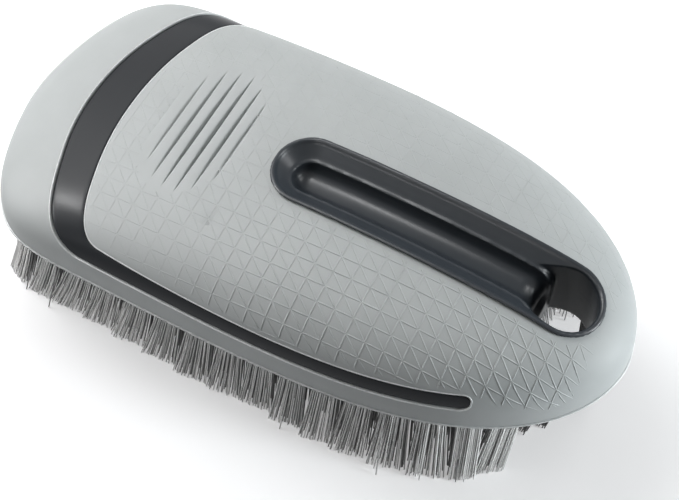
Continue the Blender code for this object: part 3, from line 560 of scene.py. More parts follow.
offsets = np.array([0.0, 0.09, 0.2, 0.34, 0.5, 0.7, 1.0, 1.4]) * MM
middles = SLIT_FIRST_X + SLIT_PITCH * np.arange(-1, 6)[:, None]
lines = (middles + [*-offsets, *offsets, SLIT_PITCH / 2]).ravel()
lines = [PANEL_HEEL_X, PANEL_NOSE_X, *lines[(lines > PANEL_HEEL_X) & (lines < PANEL_NOSE_X)]]
lines = np.unique(np.round(lines, 7))
panel, column, row = grid_sheet("palm_panel", len(lines), PANEL_STEPS + 1)
x, y = lines[column], PANEL_REACH * (2.0 * row / PANEL_STEPS - 1.0)
place_points(panel, np.stack([x, y, dome_z(x, y) - palm_depth(x, y)], axis=1))
tell(panel)

# %% Close the joint
join_to(cover, panel)
in_edit_mode(
    cover, "EDGE",
    lambda: bpy.ops.mesh.select_all(action="DESELECT"),
    bpy.ops.mesh.select_non_manifold,
    bpy.ops.mesh.bridge_edge_loops,
    bpy.ops.mesh.quads_convert_to_tris,
    lambda: bpy.ops.mesh.beautify_fill(angle_limit=math.pi),
    face_outwards,
)
tell(cover)

# %% Window and slot
cover_edge = [(0.42 * MM, 3.0 * MM), (0.42 * MM, 0.03 * MM), (0.22 * MM, -0.08 * MM),
              (0.07 * MM, -0.24 * MM), (0.0, -0.5 * MM), (0.0, -3.2 * MM)]
combine(cover, sweep_ribbon("window_cutter", cover_edge, 5, 3.0 * MM, -3.2 * MM), "DIFFERENCE")
combine(cover, slot_cutter(), "DIFFERENCE")
smooth(cover, 40.0)
tell(cover)

# %% [markdown]
# ## Moulded edges of the rubber
#
# Along its foot and round its window the rubber ends in a thin rounded lip that catches the light
# as a bright line. A circle of points is laid along the edge, turned into a curve with a round
# bevel and back into a mesh, so the bead is even however the edge turns. The beads are also painted
# lighter than the rubber, a painted highlight on top of the light that they catch.

# %% Beads along the edges
BEAD_RADIUS, BEAD_OUT, BEAD_SUNK = 0.22 * MM, 0.36 * MM, 0.10 * MM
FOOT_RADIUS, FOOT_OUT, FOOT_RAISED = 0.3 * MM, 0.08 * MM, 0.22 * MM
FOOT_STEPS = 300


def round_off(piece, radius, caps=False):
    """Turns the lone edges of a piece into round wire: to a curve with a bevel, and back."""
    only(piece)
    bpy.ops.object.convert(target="CURVE")
    piece.data.bevel_depth = radius
    piece.data.bevel_resolution = 1
    piece.data.use_fill_caps = caps
    bpy.ops.object.convert(target="MESH")
    in_edit_mode(piece, "VERT", weld)


def make_bead(name, places, radius):
    """Round bead along a closed line of points."""
    bpy.ops.mesh.primitive_circle_add(vertices=len(places))
    bead = take_new(name)
    place_points(bead, places)
    round_off(bead, radius)
    in_edit_mode(bead, "VERT", face_outwards)
    smooth(bead, 80.0)
    tell(bead)
    return bead


toward = RIBBON_INNER - RIBBON_OUTER
toward /= np.maximum(np.linalg.norm(toward, axis=1), 1e-6)[:, None]
window_line = np.concatenate([RIBBON_OUTER - toward * BEAD_OUT,
                              (RIBBON_INNER + toward * BEAD_OUT)[-2:0:-1]])
window_line = onto_dome(window_line)
window_line -= dome_normal(window_line) * BEAD_SUNK
window_bead = make_bead("window_edge_bead", window_line, BEAD_RADIUS)

foot_x, foot_y = closed_outline(-FOOT_OUT, FOOT_STEPS)
foot_line = np.stack([foot_x, foot_y, rim_z(foot_x) + FOOT_RAISED], axis=1)
foot_bead = make_bead("foot_edge_bead", foot_line, FOOT_RADIUS)

# %% [markdown]
# ## Embossed mesh of triangles
#
# The rubber carries a fine raised mesh of triangles, its lines less than half a millimetre wide. A
# bump map would vanish from the side, so the lines are real. A grid is split into triangles by
# diagonals that alternate, its faces are dropped, and what is left is the wire pattern. Laid on
# the dome and rounded off as the beads are, the wires lie more than half sunk in the cover. Where
# the pattern fades on the real brush, they sink until they are gone.

# %% Dimensions of the mesh of triangles
CELL_LENGTH, CELL_BREADTH = 4.8125 * MM, 4.08 * MM
CELL_FIRST_X, CELL_ROW_V = -51.125 * MM, -16.1 * MM
CELLS_ALONG, CELLS_ACROSS = 27, 22
WIRE_RADIUS, WIRE_SUNK, WIRE_GONE = 0.25 * MM, 0.115 * MM, 0.35 * MM
WIRE_CUTS = 3
DRIFT, DRIFT_FULL_AT = 1.8 * MM, 16.0 * MM
WORN_STRENGTH = 0.7


def fade(low, high, value):
    """Smooth step from 0 at low to 1 at high."""
    share = np.clip((value - low) / (high - low), 0.0, 1.0)
    return share * share * (3.0 - 2.0 * share)


def drift(x, v):
    """The rows run a little lower towards the heel."""
    return DRIFT * (1.0 - fade(-20.0 * MM, 50.0 * MM, x)) * np.clip(v / DRIFT_FULL_AT, -1.0, 1.0)


def wrap_over(x, v):
    """Point of the dome at x and at the arc length v from the ridge."""
    places = np.zeros((len(x), 3))
    turn = np.linspace(0.0, math.pi / 2, 400)
    for station in np.unique(x):
        here = x == station
        across = float(half_width(station)) * np.sin(turn)
        height = dome_z(station, across)
        y = np.interp(np.abs(v[here]), run_length(across, height), across)
        places[here] = np.stack([np.full(len(y), station), np.sign(v[here]) * y,
                                 dome_z(station, y)], axis=1)
    return places


def mesh_strength(places):
    """1 where the mesh of triangles stands out and 0 where the rubber is plain."""
    x, y = places[:, 0], places[:, 1]
    near_nose = [56.0 * MM, 74.0 * MM]
    plain = np.interp(x, near_nose, [STRIPE_FOOT + STRIPE_WIDTH + 0.4 * MM, 4.0 * MM])
    blend = np.interp(x, near_nose, [1.5 * MM, 4.5 * MM])
    side = fade(0.0, 1.0, (places[:, 2] - rim_z(x) - plain) / blend)
    band_x = BAND_NOSE_X + BAND_NOSE_BOW * (y / BAND_BOW_AT) ** 2
    heel = fade(0.7 * MM, 1.6 * MM, x - band_x)
    nose = 1.0 - fade(76.0 * MM, 81.0 * MM, x)
    slot_x = np.clip(x, WELL_HEEL_CENTRE_X, WELL_NOSE_CENTRE_X)
    slot = fade(LIP_RADIUS + 0.3 * MM, LIP_RADIUS + 0.9 * MM, np.hypot(x - slot_x, y))
    reach = np.interp(x, SLIT_FIRST_X + SLIT_PITCH * (np.arange(8) - 1.5),
                      [0.0, *(SLIT_HALF_LENGTHS + 0.5 * MM), 0.0])
    palm = fade(0.0, 1.2 * MM, np.abs(y - SLIT_MIDDLE_Y) - reach)
    inside = (x > SLIT_FIRST_X - 0.8 * SLIT_PITCH) & (x < SLIT_FIRST_X + 5.8 * SLIT_PITCH)
    fresh = fade(6.0 * MM, 14.0 * MM, -y) * fade(-30.0 * MM, 15.0 * MM, x)
    strength = WORN_STRENGTH + (1.0 - WORN_STRENGTH) * fresh
    return side * heel * nose * slot * np.where(inside, palm, 1.0) * strength


# %% Lay the wires on the dome
wires, column, row = grid_sheet("grip_cover_mesh_of_triangles", CELLS_ALONG + 1, CELLS_ACROSS + 1)
in_edit_mode(
    wires, "FACE", select_all,
    lambda: bpy.ops.mesh.quads_convert_to_tris(quad_method="FIXED_ALTERNATE"),
    lambda: bpy.ops.mesh.delete(type="ONLY_FACE"),
    select_all,
    lambda: bpy.ops.mesh.subdivide(number_cuts=WIRE_CUTS),
)
unit = points_of(wires)
x = CELL_FIRST_X + CELL_LENGTH * CELLS_ALONG * (unit[:, 0] + 1.0) / 2.0
v = CELL_ROW_V + CELL_BREADTH * (CELLS_ACROSS * unit[:, 1] / 2.0 + 4.0)
x = np.round(x, 7)
places = wrap_over(x, v + drift(x, v))
strength = mesh_strength(places)
places -= dome_normal(places) * (WIRE_GONE + (WIRE_SUNK - WIRE_GONE) * strength)[:, None]
place_points(wires, places)
select_parts(wires, "vertices", strength < 0.02)
in_edit_mode(wires, "VERT", lambda: bpy.ops.mesh.delete(type="VERT"))
print("wire points:", len(wires.data.vertices))

# %% Round the wires
round_off(wires, WIRE_RADIUS, caps=True)
smooth(wires, 75.0)
tell(wires)

# %% [markdown]
# ## Core and its raised land
#
# The core is the black hollow body under the cover: the same dome again, 2.3 mm further in. Only
# its land shows, a little under flush in the window. It is the sweep of the window with a tighter
# section, which comes out turned inwards, so its faces are flipped.

# %% Core and land
CORE_INSET, CORE_WALL = 2.3 * MM, 1.7 * MM
LAND_RECESS, LAND_GAP, LAND_BOTTOM = 0.3 * MM, 0.1 * MM, -2.2 * MM

core = make_dome("core_shell", CORE_INSET, 160, 32)
apply_modifier(core, "SOLIDIFY", thickness=CORE_WALL, offset=-1.0, use_even_offset=False)
combine(core, slot_cutter(), "DIFFERENCE")
smooth(core)
tell(core)

land_edge = [(-0.75 * MM, -LAND_RECESS), (-0.45 * MM, -LAND_RECESS - 0.03 * MM),
             (-0.24 * MM, -LAND_RECESS - 0.12 * MM), (-LAND_GAP, -LAND_RECESS - 0.32 * MM),
             (-LAND_GAP, LAND_BOTTOM)]
land = sweep_ribbon("band_and_stripes", land_edge, 11, -LAND_RECESS, LAND_BOTTOM)
in_edit_mode(land, "FACE", select_all, bpy.ops.mesh.flip_normals)
smooth(land, 40.0)
tell(land)

# %% [markdown]
# ## Finger well
#
# The well is a gloss black moulding in the slot: a crowned lip that lies on the cover, a sloping
# wall, a narrow ledge and a round channel that rolls down into the through hole. Each part is a
# row of rings, drawn as a rolled-up grid. The rings of the tub run from its underside over the lip
# down to the ledge. A sleeve with a wider shoulder is joined on, and channel and hole are cut out.
# A voxel remesh and a little smoothing round all the edges at once, as a moulding's are. Bevels
# would fail where the cuts meet in slivers.

# %% Slot outlines in space
def draped(radius, above):
    """Slot outline laid on the dome."""
    x, y = stadium(radius)
    return ring(x, y, dome_z(x, y) + above)


def along_ridge(radius, below):
    """Slot outline that follows only the ridge line of the dome."""
    x, y = stadium(radius)
    return ring(x, y, dome_z(x, 0.0) - below)


# %% Lip, tub and sloping wall
LEDGE_DEPTH = 2.6 * MM
CHANNEL_RADIUS, CHANNEL_DEPTH = 4.4 * MM, 4.2 * MM
CHANNEL_SIDE, CHANNEL_SIDE_SLOPE, CHANNEL_LID = 1.17, 1.2, 5.0 * MM
ROLL_START_X, ROLL_RADIUS, FLOOR_ROLL = 54.5 * MM, 7.0 * MM, 5.4 * MM
HOLE_HEEL_X, HOLE_RADIUS, HOLE_PINCH = 61.5 * MM, 8.1 * MM, 2.9 * MM
SLEEVE_WALL, SLEEVE_BELOW_RIM = 0.85 * MM, 1.0 * MM
SHOULDER_FOOT_Z, SHOULDER_Z = 34.9 * MM, 35.3 * MM

# Pairs in mm: distance from the middle line, then height over the dome or depth under the ridge.
lip_above = [(9.83, 0.3), (9.83, 0.55), (9.70, 0.78), (9.45, 0.98), (9.1, 1.05),
             (8.8, 0.95), (8.6, 0.72), (8.45, 0.35)]
wall_below = [(8.3, 0.05), (7.6, 0.62), (6.9, 1.2), (6.4, 1.62), (6.1, 1.86), (5.75, 2.1),
              (5.4, 2.35), (5.1, 2.55), (4.8, 2.6)]
well_rings = [along_ridge(6.6 * MM, 9.6 * MM), along_ridge(8.3 * MM, 8.9 * MM),
              along_ridge(TUB_RADIUS, 7.2 * MM), draped(TUB_RADIUS, 0.3 * MM)]
well_rings += [draped(radius * MM, above * MM) for radius, above in lip_above]
well_rings += [along_ridge(radius * MM, below * MM) for radius, below in wall_below]
well = draw_rings("finger_well_insert", well_rings)
tell(well)


# %% Channel and through hole
def ledge_z(x):
    return dome_z(x, 0.0) - LEDGE_DEPTH


def channel_height(radius):
    """Height of the channel over the ledge at a distance from its middle line."""
    share = np.clip(radius / CHANNEL_RADIUS, 0.0, 1.0)
    round_floor = -CHANNEL_DEPTH * (1.0 - share ** 2.5) ** 0.5
    side = (radius - CHANNEL_RADIUS) * CHANNEL_SIDE_SLOPE
    return np.where(radius > CHANNEL_RADIUS, side, round_floor)


def channel_ring(places_x, across, places_z, lid_x, lid_z):
    """Section of the channel cutter, closed by a lid over the ledge."""
    lid = ring(lid_x, across[[-1, 0]], lid_z)
    return np.concatenate([ring(places_x, across, places_z), lid])


def upright_ring(x, plane, across):
    """Section of the channel at x, at a distance from the middle of its round end."""
    height = channel_height(np.hypot(plane, across))
    return channel_ring(x, across, ledge_z(x) + height, x, ledge_z(x) + CHANNEL_LID)


across = CHANNEL_RADIUS * np.concatenate([
    np.linspace(-CHANNEL_SIDE, -1.0, 3), -np.cos(np.linspace(0.0, math.pi, 25)[1:-1]),
    np.linspace(1.0, CHANNEL_SIDE, 3)])
channel_rings = []
for turn in np.linspace(-math.pi / 2, 0.0, 14)[:-1]:
    plane = 1.16 * CHANNEL_RADIUS * math.sin(turn)
    narrow = math.sqrt(1.0 - math.sin(turn) ** 2) if channel_rings else 0.02
    channel_rings.append(upright_ring(WELL_HEEL_CENTRE_X + plane, plane, across * narrow))
for x in np.linspace(WELL_HEEL_CENTRE_X, ROLL_START_X, 70):
    channel_rings.append(upright_ring(x, 0.0, across))

pivot_z = float(ledge_z(ROLL_START_X)) - ROLL_RADIUS
over_edge = np.maximum(channel_height(np.abs(across)), 0.0)
sunk = np.clip(-channel_height(np.abs(across)) / CHANNEL_DEPTH, 0.0, 1.0)
for turn in np.linspace(0.0, math.pi / 2, 25)[1:]:
    edge_x = ROLL_START_X + (ROLL_RADIUS + over_edge) * math.sin(turn)
    edge_z = pivot_z + (ROLL_RADIUS + over_edge) * math.cos(turn)
    floor_x = ROLL_START_X + FLOOR_ROLL * math.sin(turn)
    floor_z = pivot_z + ROLL_RADIUS - CHANNEL_DEPTH - FLOOR_ROLL * (1.0 - math.cos(turn))
    lid = ROLL_RADIUS + CHANNEL_LID
    channel_rings.append(channel_ring(
        edge_x + (floor_x - edge_x) * sunk, across, edge_z + (floor_z - edge_z) * sunk,
        ROLL_START_X + lid * math.sin(turn), pivot_z + lid * math.cos(turn)))
ends = channel_rings[-1].copy()
ends[:, 0], ends[:, 2] = np.maximum(ends[:, 0], HOLE_HEEL_X + 0.1 * MM), ends[:, 2] - 3.4 * MM
channel = draw_rings("channel_cutter", [*channel_rings, ends, ends - (0.0, 0.0, 30.0 * MM)])
tell(channel)

# %% Sleeve and hole
nose_turns = np.linspace(-math.pi / 2, math.pi / 2, 41)


def sleeve_ring(heel_x, grow, z, pinch=0.0):
    """Plan of the sleeve: round at the nose, straight towards the heel and pinched there."""
    radius = HOLE_RADIUS + grow
    side_x = np.linspace(heel_x, WELL_NOSE_CENTRE_X, 13)[:-1]
    side_y = radius - pinch * fade(0.0, WELL_NOSE_CENTRE_X - ROLL_START_X,
                                   WELL_NOSE_CENTRE_X - side_x)
    x = np.concatenate([side_x, WELL_NOSE_CENTRE_X + radius * np.cos(nose_turns), side_x[::-1]])
    y = np.concatenate([-side_y, radius * np.sin(nose_turns), side_y[::-1]])
    return ring(x, y, z)


hole_path = [(HOLE_HEEL_X, 10.0 * MM)]
hole_path += [(ROLL_START_X + ROLL_RADIUS * math.cos(turn), pivot_z + ROLL_RADIUS * math.sin(turn))
              for turn in np.linspace(0.0, math.pi / 2, 25)]
hole_path.append((ROLL_START_X, pivot_z + ROLL_RADIUS + 6.0 * MM))
hole = draw_rings("hole_cutter", [sleeve_ring(x, 0.0, z, HOLE_PINCH) for x, z in hole_path])

sleeve_x, sleeve_y, _ = sleeve_ring(HOLE_HEEL_X - SLEEVE_WALL, SLEEVE_WALL, 0.0).T
shoulder_x, shoulder_y, _ = sleeve_ring(
    ROLL_START_X + FLOOR_ROLL - SLEEVE_WALL, SLEEVE_WALL, 0.0).T
sleeve = draw_rings("sleeve", [
    ring(sleeve_x, sleeve_y, rim_z(sleeve_x) - SLEEVE_BELOW_RIM),
    ring(sleeve_x, sleeve_y, SHOULDER_FOOT_Z),
    ring(shoulder_x, shoulder_y, SHOULDER_Z),
    ring(shoulder_x, shoulder_y, ledge_z(shoulder_x) - 1.5 * CHANNEL_DEPTH),
])

combine(well, sleeve, "UNION")
combine(well, channel, "DIFFERENCE")
combine(well, hole, "DIFFERENCE")
tell(well)

# %% Moulded edges
apply_modifier(well, "REMESH", mode="VOXEL", voxel_size=0.34 * MM, use_smooth_shade=True)
apply_modifier(well, "SMOOTH", factor=0.5, iterations=5)
tell(well)

# %% [markdown]
# ## Tufts
#
# The block carries rows of tufts whose filaments splay outwards to the floor, where they are
# trimmed flat. One filament is modelled, a five-sided circle extruded three times, and every other
# is a copy with its own root, tip and bow. The filaments of a tuft stand in layers from its outer
# side inwards, each with its own painted lightness: the inner layers are painted darker, as painted
# shade, and each filament adds a random tone. Tables say how the tips splay along the brush and
# lean out across it. The black tufts round the nose are made the same way.

# %% Where the tufts stand
STRIP_INSET = 5.6 * MM
TUFT_EDGE_INSET = 2.6 * MM
FIRST_TUFT_X, LAST_TUFT_X = -69.8 * MM, 63.87 * MM
TUFT_PITCH = 9.2 * MM
BLOCK_PROUD = 1.0 * MM


def edge_tufts(count=17):
    """Middles and outward directions of the outermost tufts of the far side."""
    x, y = (line[::-1] for line in outline_side(STRIP_INSET))
    along_x, along_y = x[2:] - x[:-2], y[2:] - y[:-2]
    length = np.hypot(along_x, along_y)
    out_x, out_y = -along_y / length, along_x / length
    path_x = (x[2:] + x[:-2]) / 2 - out_x * TUFT_EDGE_INSET
    path_y = (y[2:] + y[:-2]) / 2 - out_y * TUFT_EDGE_INSET
    keep = (path_x > FIRST_TUFT_X) & (path_x < LAST_TUFT_X)
    path = np.stack([path_x, path_y, out_x, out_y])[:, keep]
    run = run_length(path[0], path[1])
    at = np.linspace(0.0, run[-1], count)
    return np.stack([np.interp(at, run, line) for line in path], axis=1)


edges = edge_tufts()
rows = []
for x, reach, out_x, _ in edges[:15]:
    gaps = max(round(2.0 * reach / TUFT_PITCH), 1)
    rows.append([(x, y, out_x * (y / reach) ** 2) for y in np.linspace(-reach, reach, gaps + 1)])
print("tufts a row:", [len(row) for row in rows])

# %% One filament
FILAMENT_RADIUS = 0.18 * MM
FILAMENT_SIDES, FILAMENT_STEPS = 5, 3

bpy.ops.mesh.primitive_circle_add(vertices=FILAMENT_SIDES, radius=1.0, fill_type="NGON")
pattern = take_new("filament_pattern")
in_edit_mode(
    pattern, "FACE", select_all,
    *[lambda: bpy.ops.mesh.extrude_region_move(
        TRANSFORM_OT_translate={"value": (0.0, 0.0, 1.0 / FILAMENT_STEPS)})] * FILAMENT_STEPS,
    select_all,
    lambda: bpy.ops.mesh.normals_make_consistent(inside=True),
)
pattern_points = points_of(pattern)
pattern_faces = [tuple(face.vertices) for face in pattern.data.polygons]
bpy.data.objects.remove(pattern, do_unlink=True)
print("filament:", len(pattern_points), "points,", len(pattern_faces), "faces")

# %% How the filaments of a tuft stand
# Each layer: place from the outer side (1) to the inner side (-1), filaments, lightness.
# The lightness is painted shade: the outer layer is painted light, the inner ones darker.
LAYERS = ((1.0, 14, 0.7), (0.84, 13, 0.15), (0.55, 12, 0.0), (0.1, 11, 0.0), (-0.4, 10, 0.0),
          (-0.95, 10, 0.0))
NOSE_LAYERS = ((1.0, 6, 0.3), (0.5, 8, 0.3), (0.0, 8, 0.2), (-0.5, 8, 0.1), (-1.0, 6, 0.1))
TUFT_ROOT_HALF, TUFT_TIP_HALF, LAST_TIP_HALF = 3.3 * MM, 4.1 * MM, 4.3 * MM
NOSE_ROOT_HALF, NOSE_TIP_HALF = 0.9 * MM, 1.3 * MM
NOSE_RING_LENGTH, NOSE_RING_BREADTH, NOSE_ANGLES = 10.4 * MM, 11.4 * MM, (16.0, 42.0, 68.0)
ROOT_SUNK, TRIM_ROUGHNESS, TIP_CLEARANCE = 0.6 * MM, 0.12 * MM, 0.02 * MM
STRAY_SHARE, STRAY_REACH = 0.025, 1.4 * MM
PLATE_STEPS, PLATE_ABOVE_RIM, PLATE_ROOM = 120, 1.6 * MM, 1.15 * MM

# Along the brush the tips move by SPLAY_BY, and across it their y is multiplied by LEAN_ACROSS.
SPLAY_AT = np.array([-90, -70, -52, -40, -20, 0, 34, 44, 54, 60, 64, 90]) * MM
SPLAY_BY = np.array([-0.5, -2.4, -6.4, -5.4, -2.6, -0.7, 0.3, 1.8, 2.6, 1.0, -2.4, -2.4]) * MM
LEAN_AT = np.array([-64, -55, -42, -12, 5, 22, 40, 56]) * MM
LEAN_ACROSS = np.array([1.19, 1.13, 1.11, 1.16, 1.135, 1.19, 1.225, 1.25])
LAST_LEAN = {"near": (0.985, 1.27), "far": (0.99, 1.36)}
NOSE_LEAN = {"near": (0.96, 1.2), "far": (1.03, 1.14)}
print("filaments a tuft:", sum(count for _, count, _ in LAYERS))


# %% Copies of the filament
def tuft_layers(layers, chance):
    """Even layers of filaments, outer side first, with painted shade by layer and a random tone."""
    spread, light = [], []
    for out, count, lightness in layers:
        along = np.linspace(-1.0, 1.0, count) * (1.0 - 0.12 * abs(out))
        spread.append(np.stack([along + chance.normal(0.0, 0.025, count),
                                out + chance.normal(0.0, 0.04, count)], axis=1))
        light.append(lightness + chance.uniform(0.0, 0.38, count))
    return np.concatenate(spread), np.concatenate(light)


def splayed(x):
    """Where the tips of a tuft at x stand along the brush."""
    return x + np.interp(x, SPLAY_AT, SPLAY_BY)


def tip_middle(x, y, tip_half, lean):
    """Middle of a tuft's tips and half their reach, by its own lean or by the tables."""
    if lean:
        return np.array([x * lean[0], y * lean[1]]), tip_half
    middle = np.array([splayed(x), y * np.interp(x, LEAN_AT, LEAN_ACROSS)])
    return middle, (splayed(x + TUFT_PITCH / 2) - splayed(x - TUFT_PITCH / 2)) / 2


def bend_filaments(root, tip, chance):
    """The pattern's points for every filament, bent from its root down to its tip."""
    root_height = rim_z(root[:, 0]) - BLOCK_PROUD + ROOT_SUNK
    tip_height = np.abs(chance.normal(0.0, TRIM_ROUGHNESS, len(tip))) + TIP_CLEARANCE
    bow = chance.normal(0.0, 0.02 * MM, root.shape) - (tip - root) * 0.05
    share = pattern_points[:, 2]
    middle = (root[:, None] + (tip - root)[:, None] * share[None, :, None]
              + bow[:, None] * (4.0 * share * (1.0 - share))[None, :, None])
    around = pattern_points[None, :, :2] * FILAMENT_RADIUS
    height = root_height[:, None] + (tip_height - root_height)[:, None] * share[None]
    return np.concatenate([middle + around, height[..., None]], axis=2).reshape(-1, 3)


def grow_tufts(name, places, seed, layers=LAYERS, root_half=TUFT_ROOT_HALF,
               tip_half=TUFT_TIP_HALF, lean=None):
    """One mesh with every filament of the named tufts."""
    chance = np.random.default_rng(seed)
    points, painted_shades_and_tones = [], []
    for x, y, out_x in places:
        side = 1.0 if y >= 0.0 else -1.0
        out = np.array([out_x, side * math.sqrt(1.0 - out_x ** 2)])
        along = np.array([abs(out[1]), -side * out_x])
        spread, light = tuft_layers(layers, chance)
        root = np.array([x, y]) + root_half * (spread[:, :1] * along + spread[:, 1:] * out)
        middle, along_half = tip_middle(x, y, tip_half, lean)
        sway = chance.normal(0.0, 0.05)
        loose = spread + chance.normal(0.0, (0.035, 0.025), spread.shape)
        loose[:, 1] -= 0.12 * loose[:, 0]
        tip = (middle + along_half * (loose[:, :1] + sway) * along
               + tip_half * loose[:, 1:] * out)
        stray = chance.random(len(spread)) < STRAY_SHARE
        tip[stray] += chance.normal(0.0, STRAY_REACH, (stray.sum(), 2))
        tip = np.clip(tip, np.array(cad_box[0][:2]) + FILAMENT_RADIUS,
                      np.array(cad_box[1][:2]) - FILAMENT_RADIUS)
        points.append(bend_filaments(root, tip, chance))
        # Painted shade of each filament's layer, with its random tone, repeated for all its points.
        painted_shades_and_tones.append(np.repeat(np.clip(light, 0.0, 1.0), len(pattern_points)))
    points, painted_shades_and_tones = np.concatenate(points), np.concatenate(painted_shades_and_tones)
    starts = range(0, len(points), len(pattern_points))
    faces = [tuple(start + corner for corner in face) for start in starts for face in pattern_faces]
    mesh = bpy.data.meshes.new(name)
    mesh.from_pydata(points.tolist(), [], faces)
    mesh.attributes.new("painted_shade_and_tone", "FLOAT", "POINT").data.foreach_set("value", painted_shades_and_tones)
    piece = bpy.data.objects.new(name, mesh)
    bpy.context.scene.collection.objects.link(piece)
    smooth(piece, 80.0)
    return piece


# %% Grow the tufts
tufts = {}
for number, row in enumerate(rows, 1):
    node = f"tuft_row_{number:02d}"
    tufts[node] = grow_tufts(node + "_filaments", row, number)
for side, word in ((1, "far"), (-1, "near")):
    x, y, out_x, _ = edges[15]
    places = [(x, side * y, out_x), (x - 1.5 * MM, side * (y - 8.6 * MM), 0.0)]
    shoulder = grow_tufts(f"shoulder_tufts_{word}_filaments", places, 30 + side)
    x, y, out_x, _ = edges[16]
    last = grow_tufts(f"last_tuft_{word}", [(x, side * y, out_x)], 50 + side, LAYERS,
                      TUFT_ROOT_HALF, LAST_TIP_HALF, LAST_LEAN[word])
    join_to(shoulder, last)
    tufts[f"shoulder_tufts_{word}"] = shoulder
    places = [(WELL_NOSE_CENTRE_X + NOSE_RING_LENGTH * math.cos(turn),
               side * NOSE_RING_BREADTH * math.sin(turn), 0.0) for turn in np.radians(NOSE_ANGLES)]
    tufts[f"nose_tufts_{word}"] = grow_tufts(
        f"nose_tufts_{word}_filaments", places, 40 + side, NOSE_LAYERS,
        NOSE_ROOT_HALF, NOSE_TIP_HALF, NOSE_LEAN[word])
for piece in tufts.values():
    tell(piece)

# %% Backing plate of the tufts
plate_x, plate_y = closed_outline(STRIP_INSET, PLATE_STEPS)
plate = draw_rings("tuft_plate", [ring(plate_x, plate_y, rim_z(plate_x) - BLOCK_PROUD),
                                  ring(plate_x, plate_y, rim_z(plate_x) + PLATE_ABOVE_RIM)])
plate_cut = [sleeve_ring(HOLE_HEEL_X - PLATE_ROOM, PLATE_ROOM, z) for z in (15.0 * MM, 40.0 * MM)]
combine(plate, draw_rings("plate_cutter", plate_cut), "DIFFERENCE")
tell(plate)

# %% [markdown]
# ## Floor and frame
#
# The floor is stage, not part of the model. Every new piece rides the one body, root, and the CAD
# node that it stands for is hidden. The brush block and the four screws keep their CAD meshes.

# %% Floor, and the node of each piece
bpy.ops.mesh.primitive_plane_add(size=3.0, location=(0.0, 0.0, 0.0))
floor = take_new("floor")

stands_for = [(cover, "grip_cover"), (wires, "grip_cover"), (window_bead, "grip_cover"),
              (foot_bead, "grip_cover"), (core, "core_housing"), (land, "core_housing"),
              (well, "finger_well"), *[(piece, node) for node, piece in tufts.items()]]
for piece, node in stands_for:
    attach(piece, "root")
    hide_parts(node)
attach(plate, "root")
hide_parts(*tufts)
print("pieces:", len(stands_for) + 1)

# %% [markdown]
# ## Shader maths
#
# A material that varies is a small sum over positions and noises. One class wraps a socket, so the
# sum is written as plain Python and adds its Math nodes by itself. A second adds nodes to a tree,
# and a third holds a material while it is made and mixes its colours.

# %% Sockets that add up
class Wired:
    """A socket that can be used in sums."""

    def __init__(self, nodes, socket):
        self.nodes, self.socket = nodes, socket

    def __add__(self, other):
        return self.nodes.add("ShaderNodeMath", {"operation": "ADD"}, _0=self, _1=other)

    def __mul__(self, other):
        return self.nodes.add("ShaderNodeMath", {"operation": "MULTIPLY"}, _0=self, _1=other)

    __radd__, __rmul__ = __add__, __mul__

    def within(self, low, high):
        """Smooth step from 0 at low to 1 at high."""
        return self.nodes.add("ShaderNodeMapRange", {"interpolation_type": "SMOOTHSTEP"},
                              Value=self, From_Min=low, From_Max=high)


class Nodes:
    """A node tree, with one way to add a node and feed its inputs."""

    def __init__(self, tree):
        self.tree = tree

    def feed(self, node, inputs):
        """Links wired values to inputs and sets plain ones; _0 stands for the first input."""
        for name, value in inputs.items():
            socket = node.inputs[int(name[1:]) if name[0] == "_" else name.replace("_", " ")]
            if isinstance(value, Wired):
                self.tree.links.new(value.socket, socket)
            else:
                socket.default_value = value

    def add(self, kind, settings=None, output=0, **inputs):
        made = self.tree.nodes.new(kind)
        for setting, value in (settings or {}).items():
            setattr(made, setting, value)
        self.feed(made, inputs)
        return Wired(self, made.outputs[output])

    def background_rays(self):
        """1 for rays from the camera and for those mirrored or let through by a piece."""
        outputs = self.tree.nodes.new("ShaderNodeLightPath").outputs
        seen, mirrored, let_through = (Wired(self, outputs[f"Is {kind} Ray"])
                                       for kind in ("Camera", "Glossy", "Transmission"))
        return seen + mirrored + let_through


class Finish(Nodes):
    """A material under construction."""

    def __init__(self, name):
        self.material = bpy.data.materials.new(name)
        self.material.use_nodes = True
        super().__init__(self.material.node_tree)

    def set(self, **values):
        self.feed(self.tree.nodes["Principled BSDF"], values)

    def place(self):
        return self.add("ShaderNodeTexCoord", output=3)

    def noise(self, scale, detail=2.0):
        return self.add("ShaderNodeTexNoise", Vector=self.place(), Scale=scale, Detail=detail)

    def blend(self, factor, *tones):
        first, second = (tone if isinstance(tone, Wired) else (*tone, 1.0) for tone in tones)
        return self.add("ShaderNodeMix", {"data_type": "RGBA"}, output=2, _0=factor, _6=first,
                        _7=second)

    def painted_shade_and_tone(self):
        """The painted shade and random tone that each filament carries."""
        return self.add("ShaderNodeAttribute", {"attribute_name": "painted_shade_and_tone"}, output=2)


def linear(red, green, blue):
    """Shader colour of a colour as seen on screen, 0 to 255."""
    return tuple(((value / 255 + 0.055) / 1.055) ** 2.4 for value in (red, green, blue))


# %% [markdown]
# ## Finishes
#
# The cover is matt rubber with a fine grain, and the beads along its moulded edges are painted
# lighter, a painted highlight. The core is satin black, the well a softer gloss with broad
# reflections. The filaments mix two greys by the lightness that each of them carries: painted shade
# that darkens the inner layers of each tuft, and a random tone.

# %% Finishes
def moulded(name, colour, grain_scale, detail, roughness, spread, specular, bump):
    """A moulding of one colour whose fine grain varies its roughness and its surface."""
    finish = Finish(name)
    grain = finish.noise(grain_scale, detail)
    relief = finish.add("ShaderNodeBump", Height=grain, Strength=bump, Distance=0.05 * MM)
    finish.set(Base_Color=(*linear(*colour), 1.0), Roughness=roughness + spread * grain,
               Specular_IOR_Level=specular, Normal=relief)
    return finish


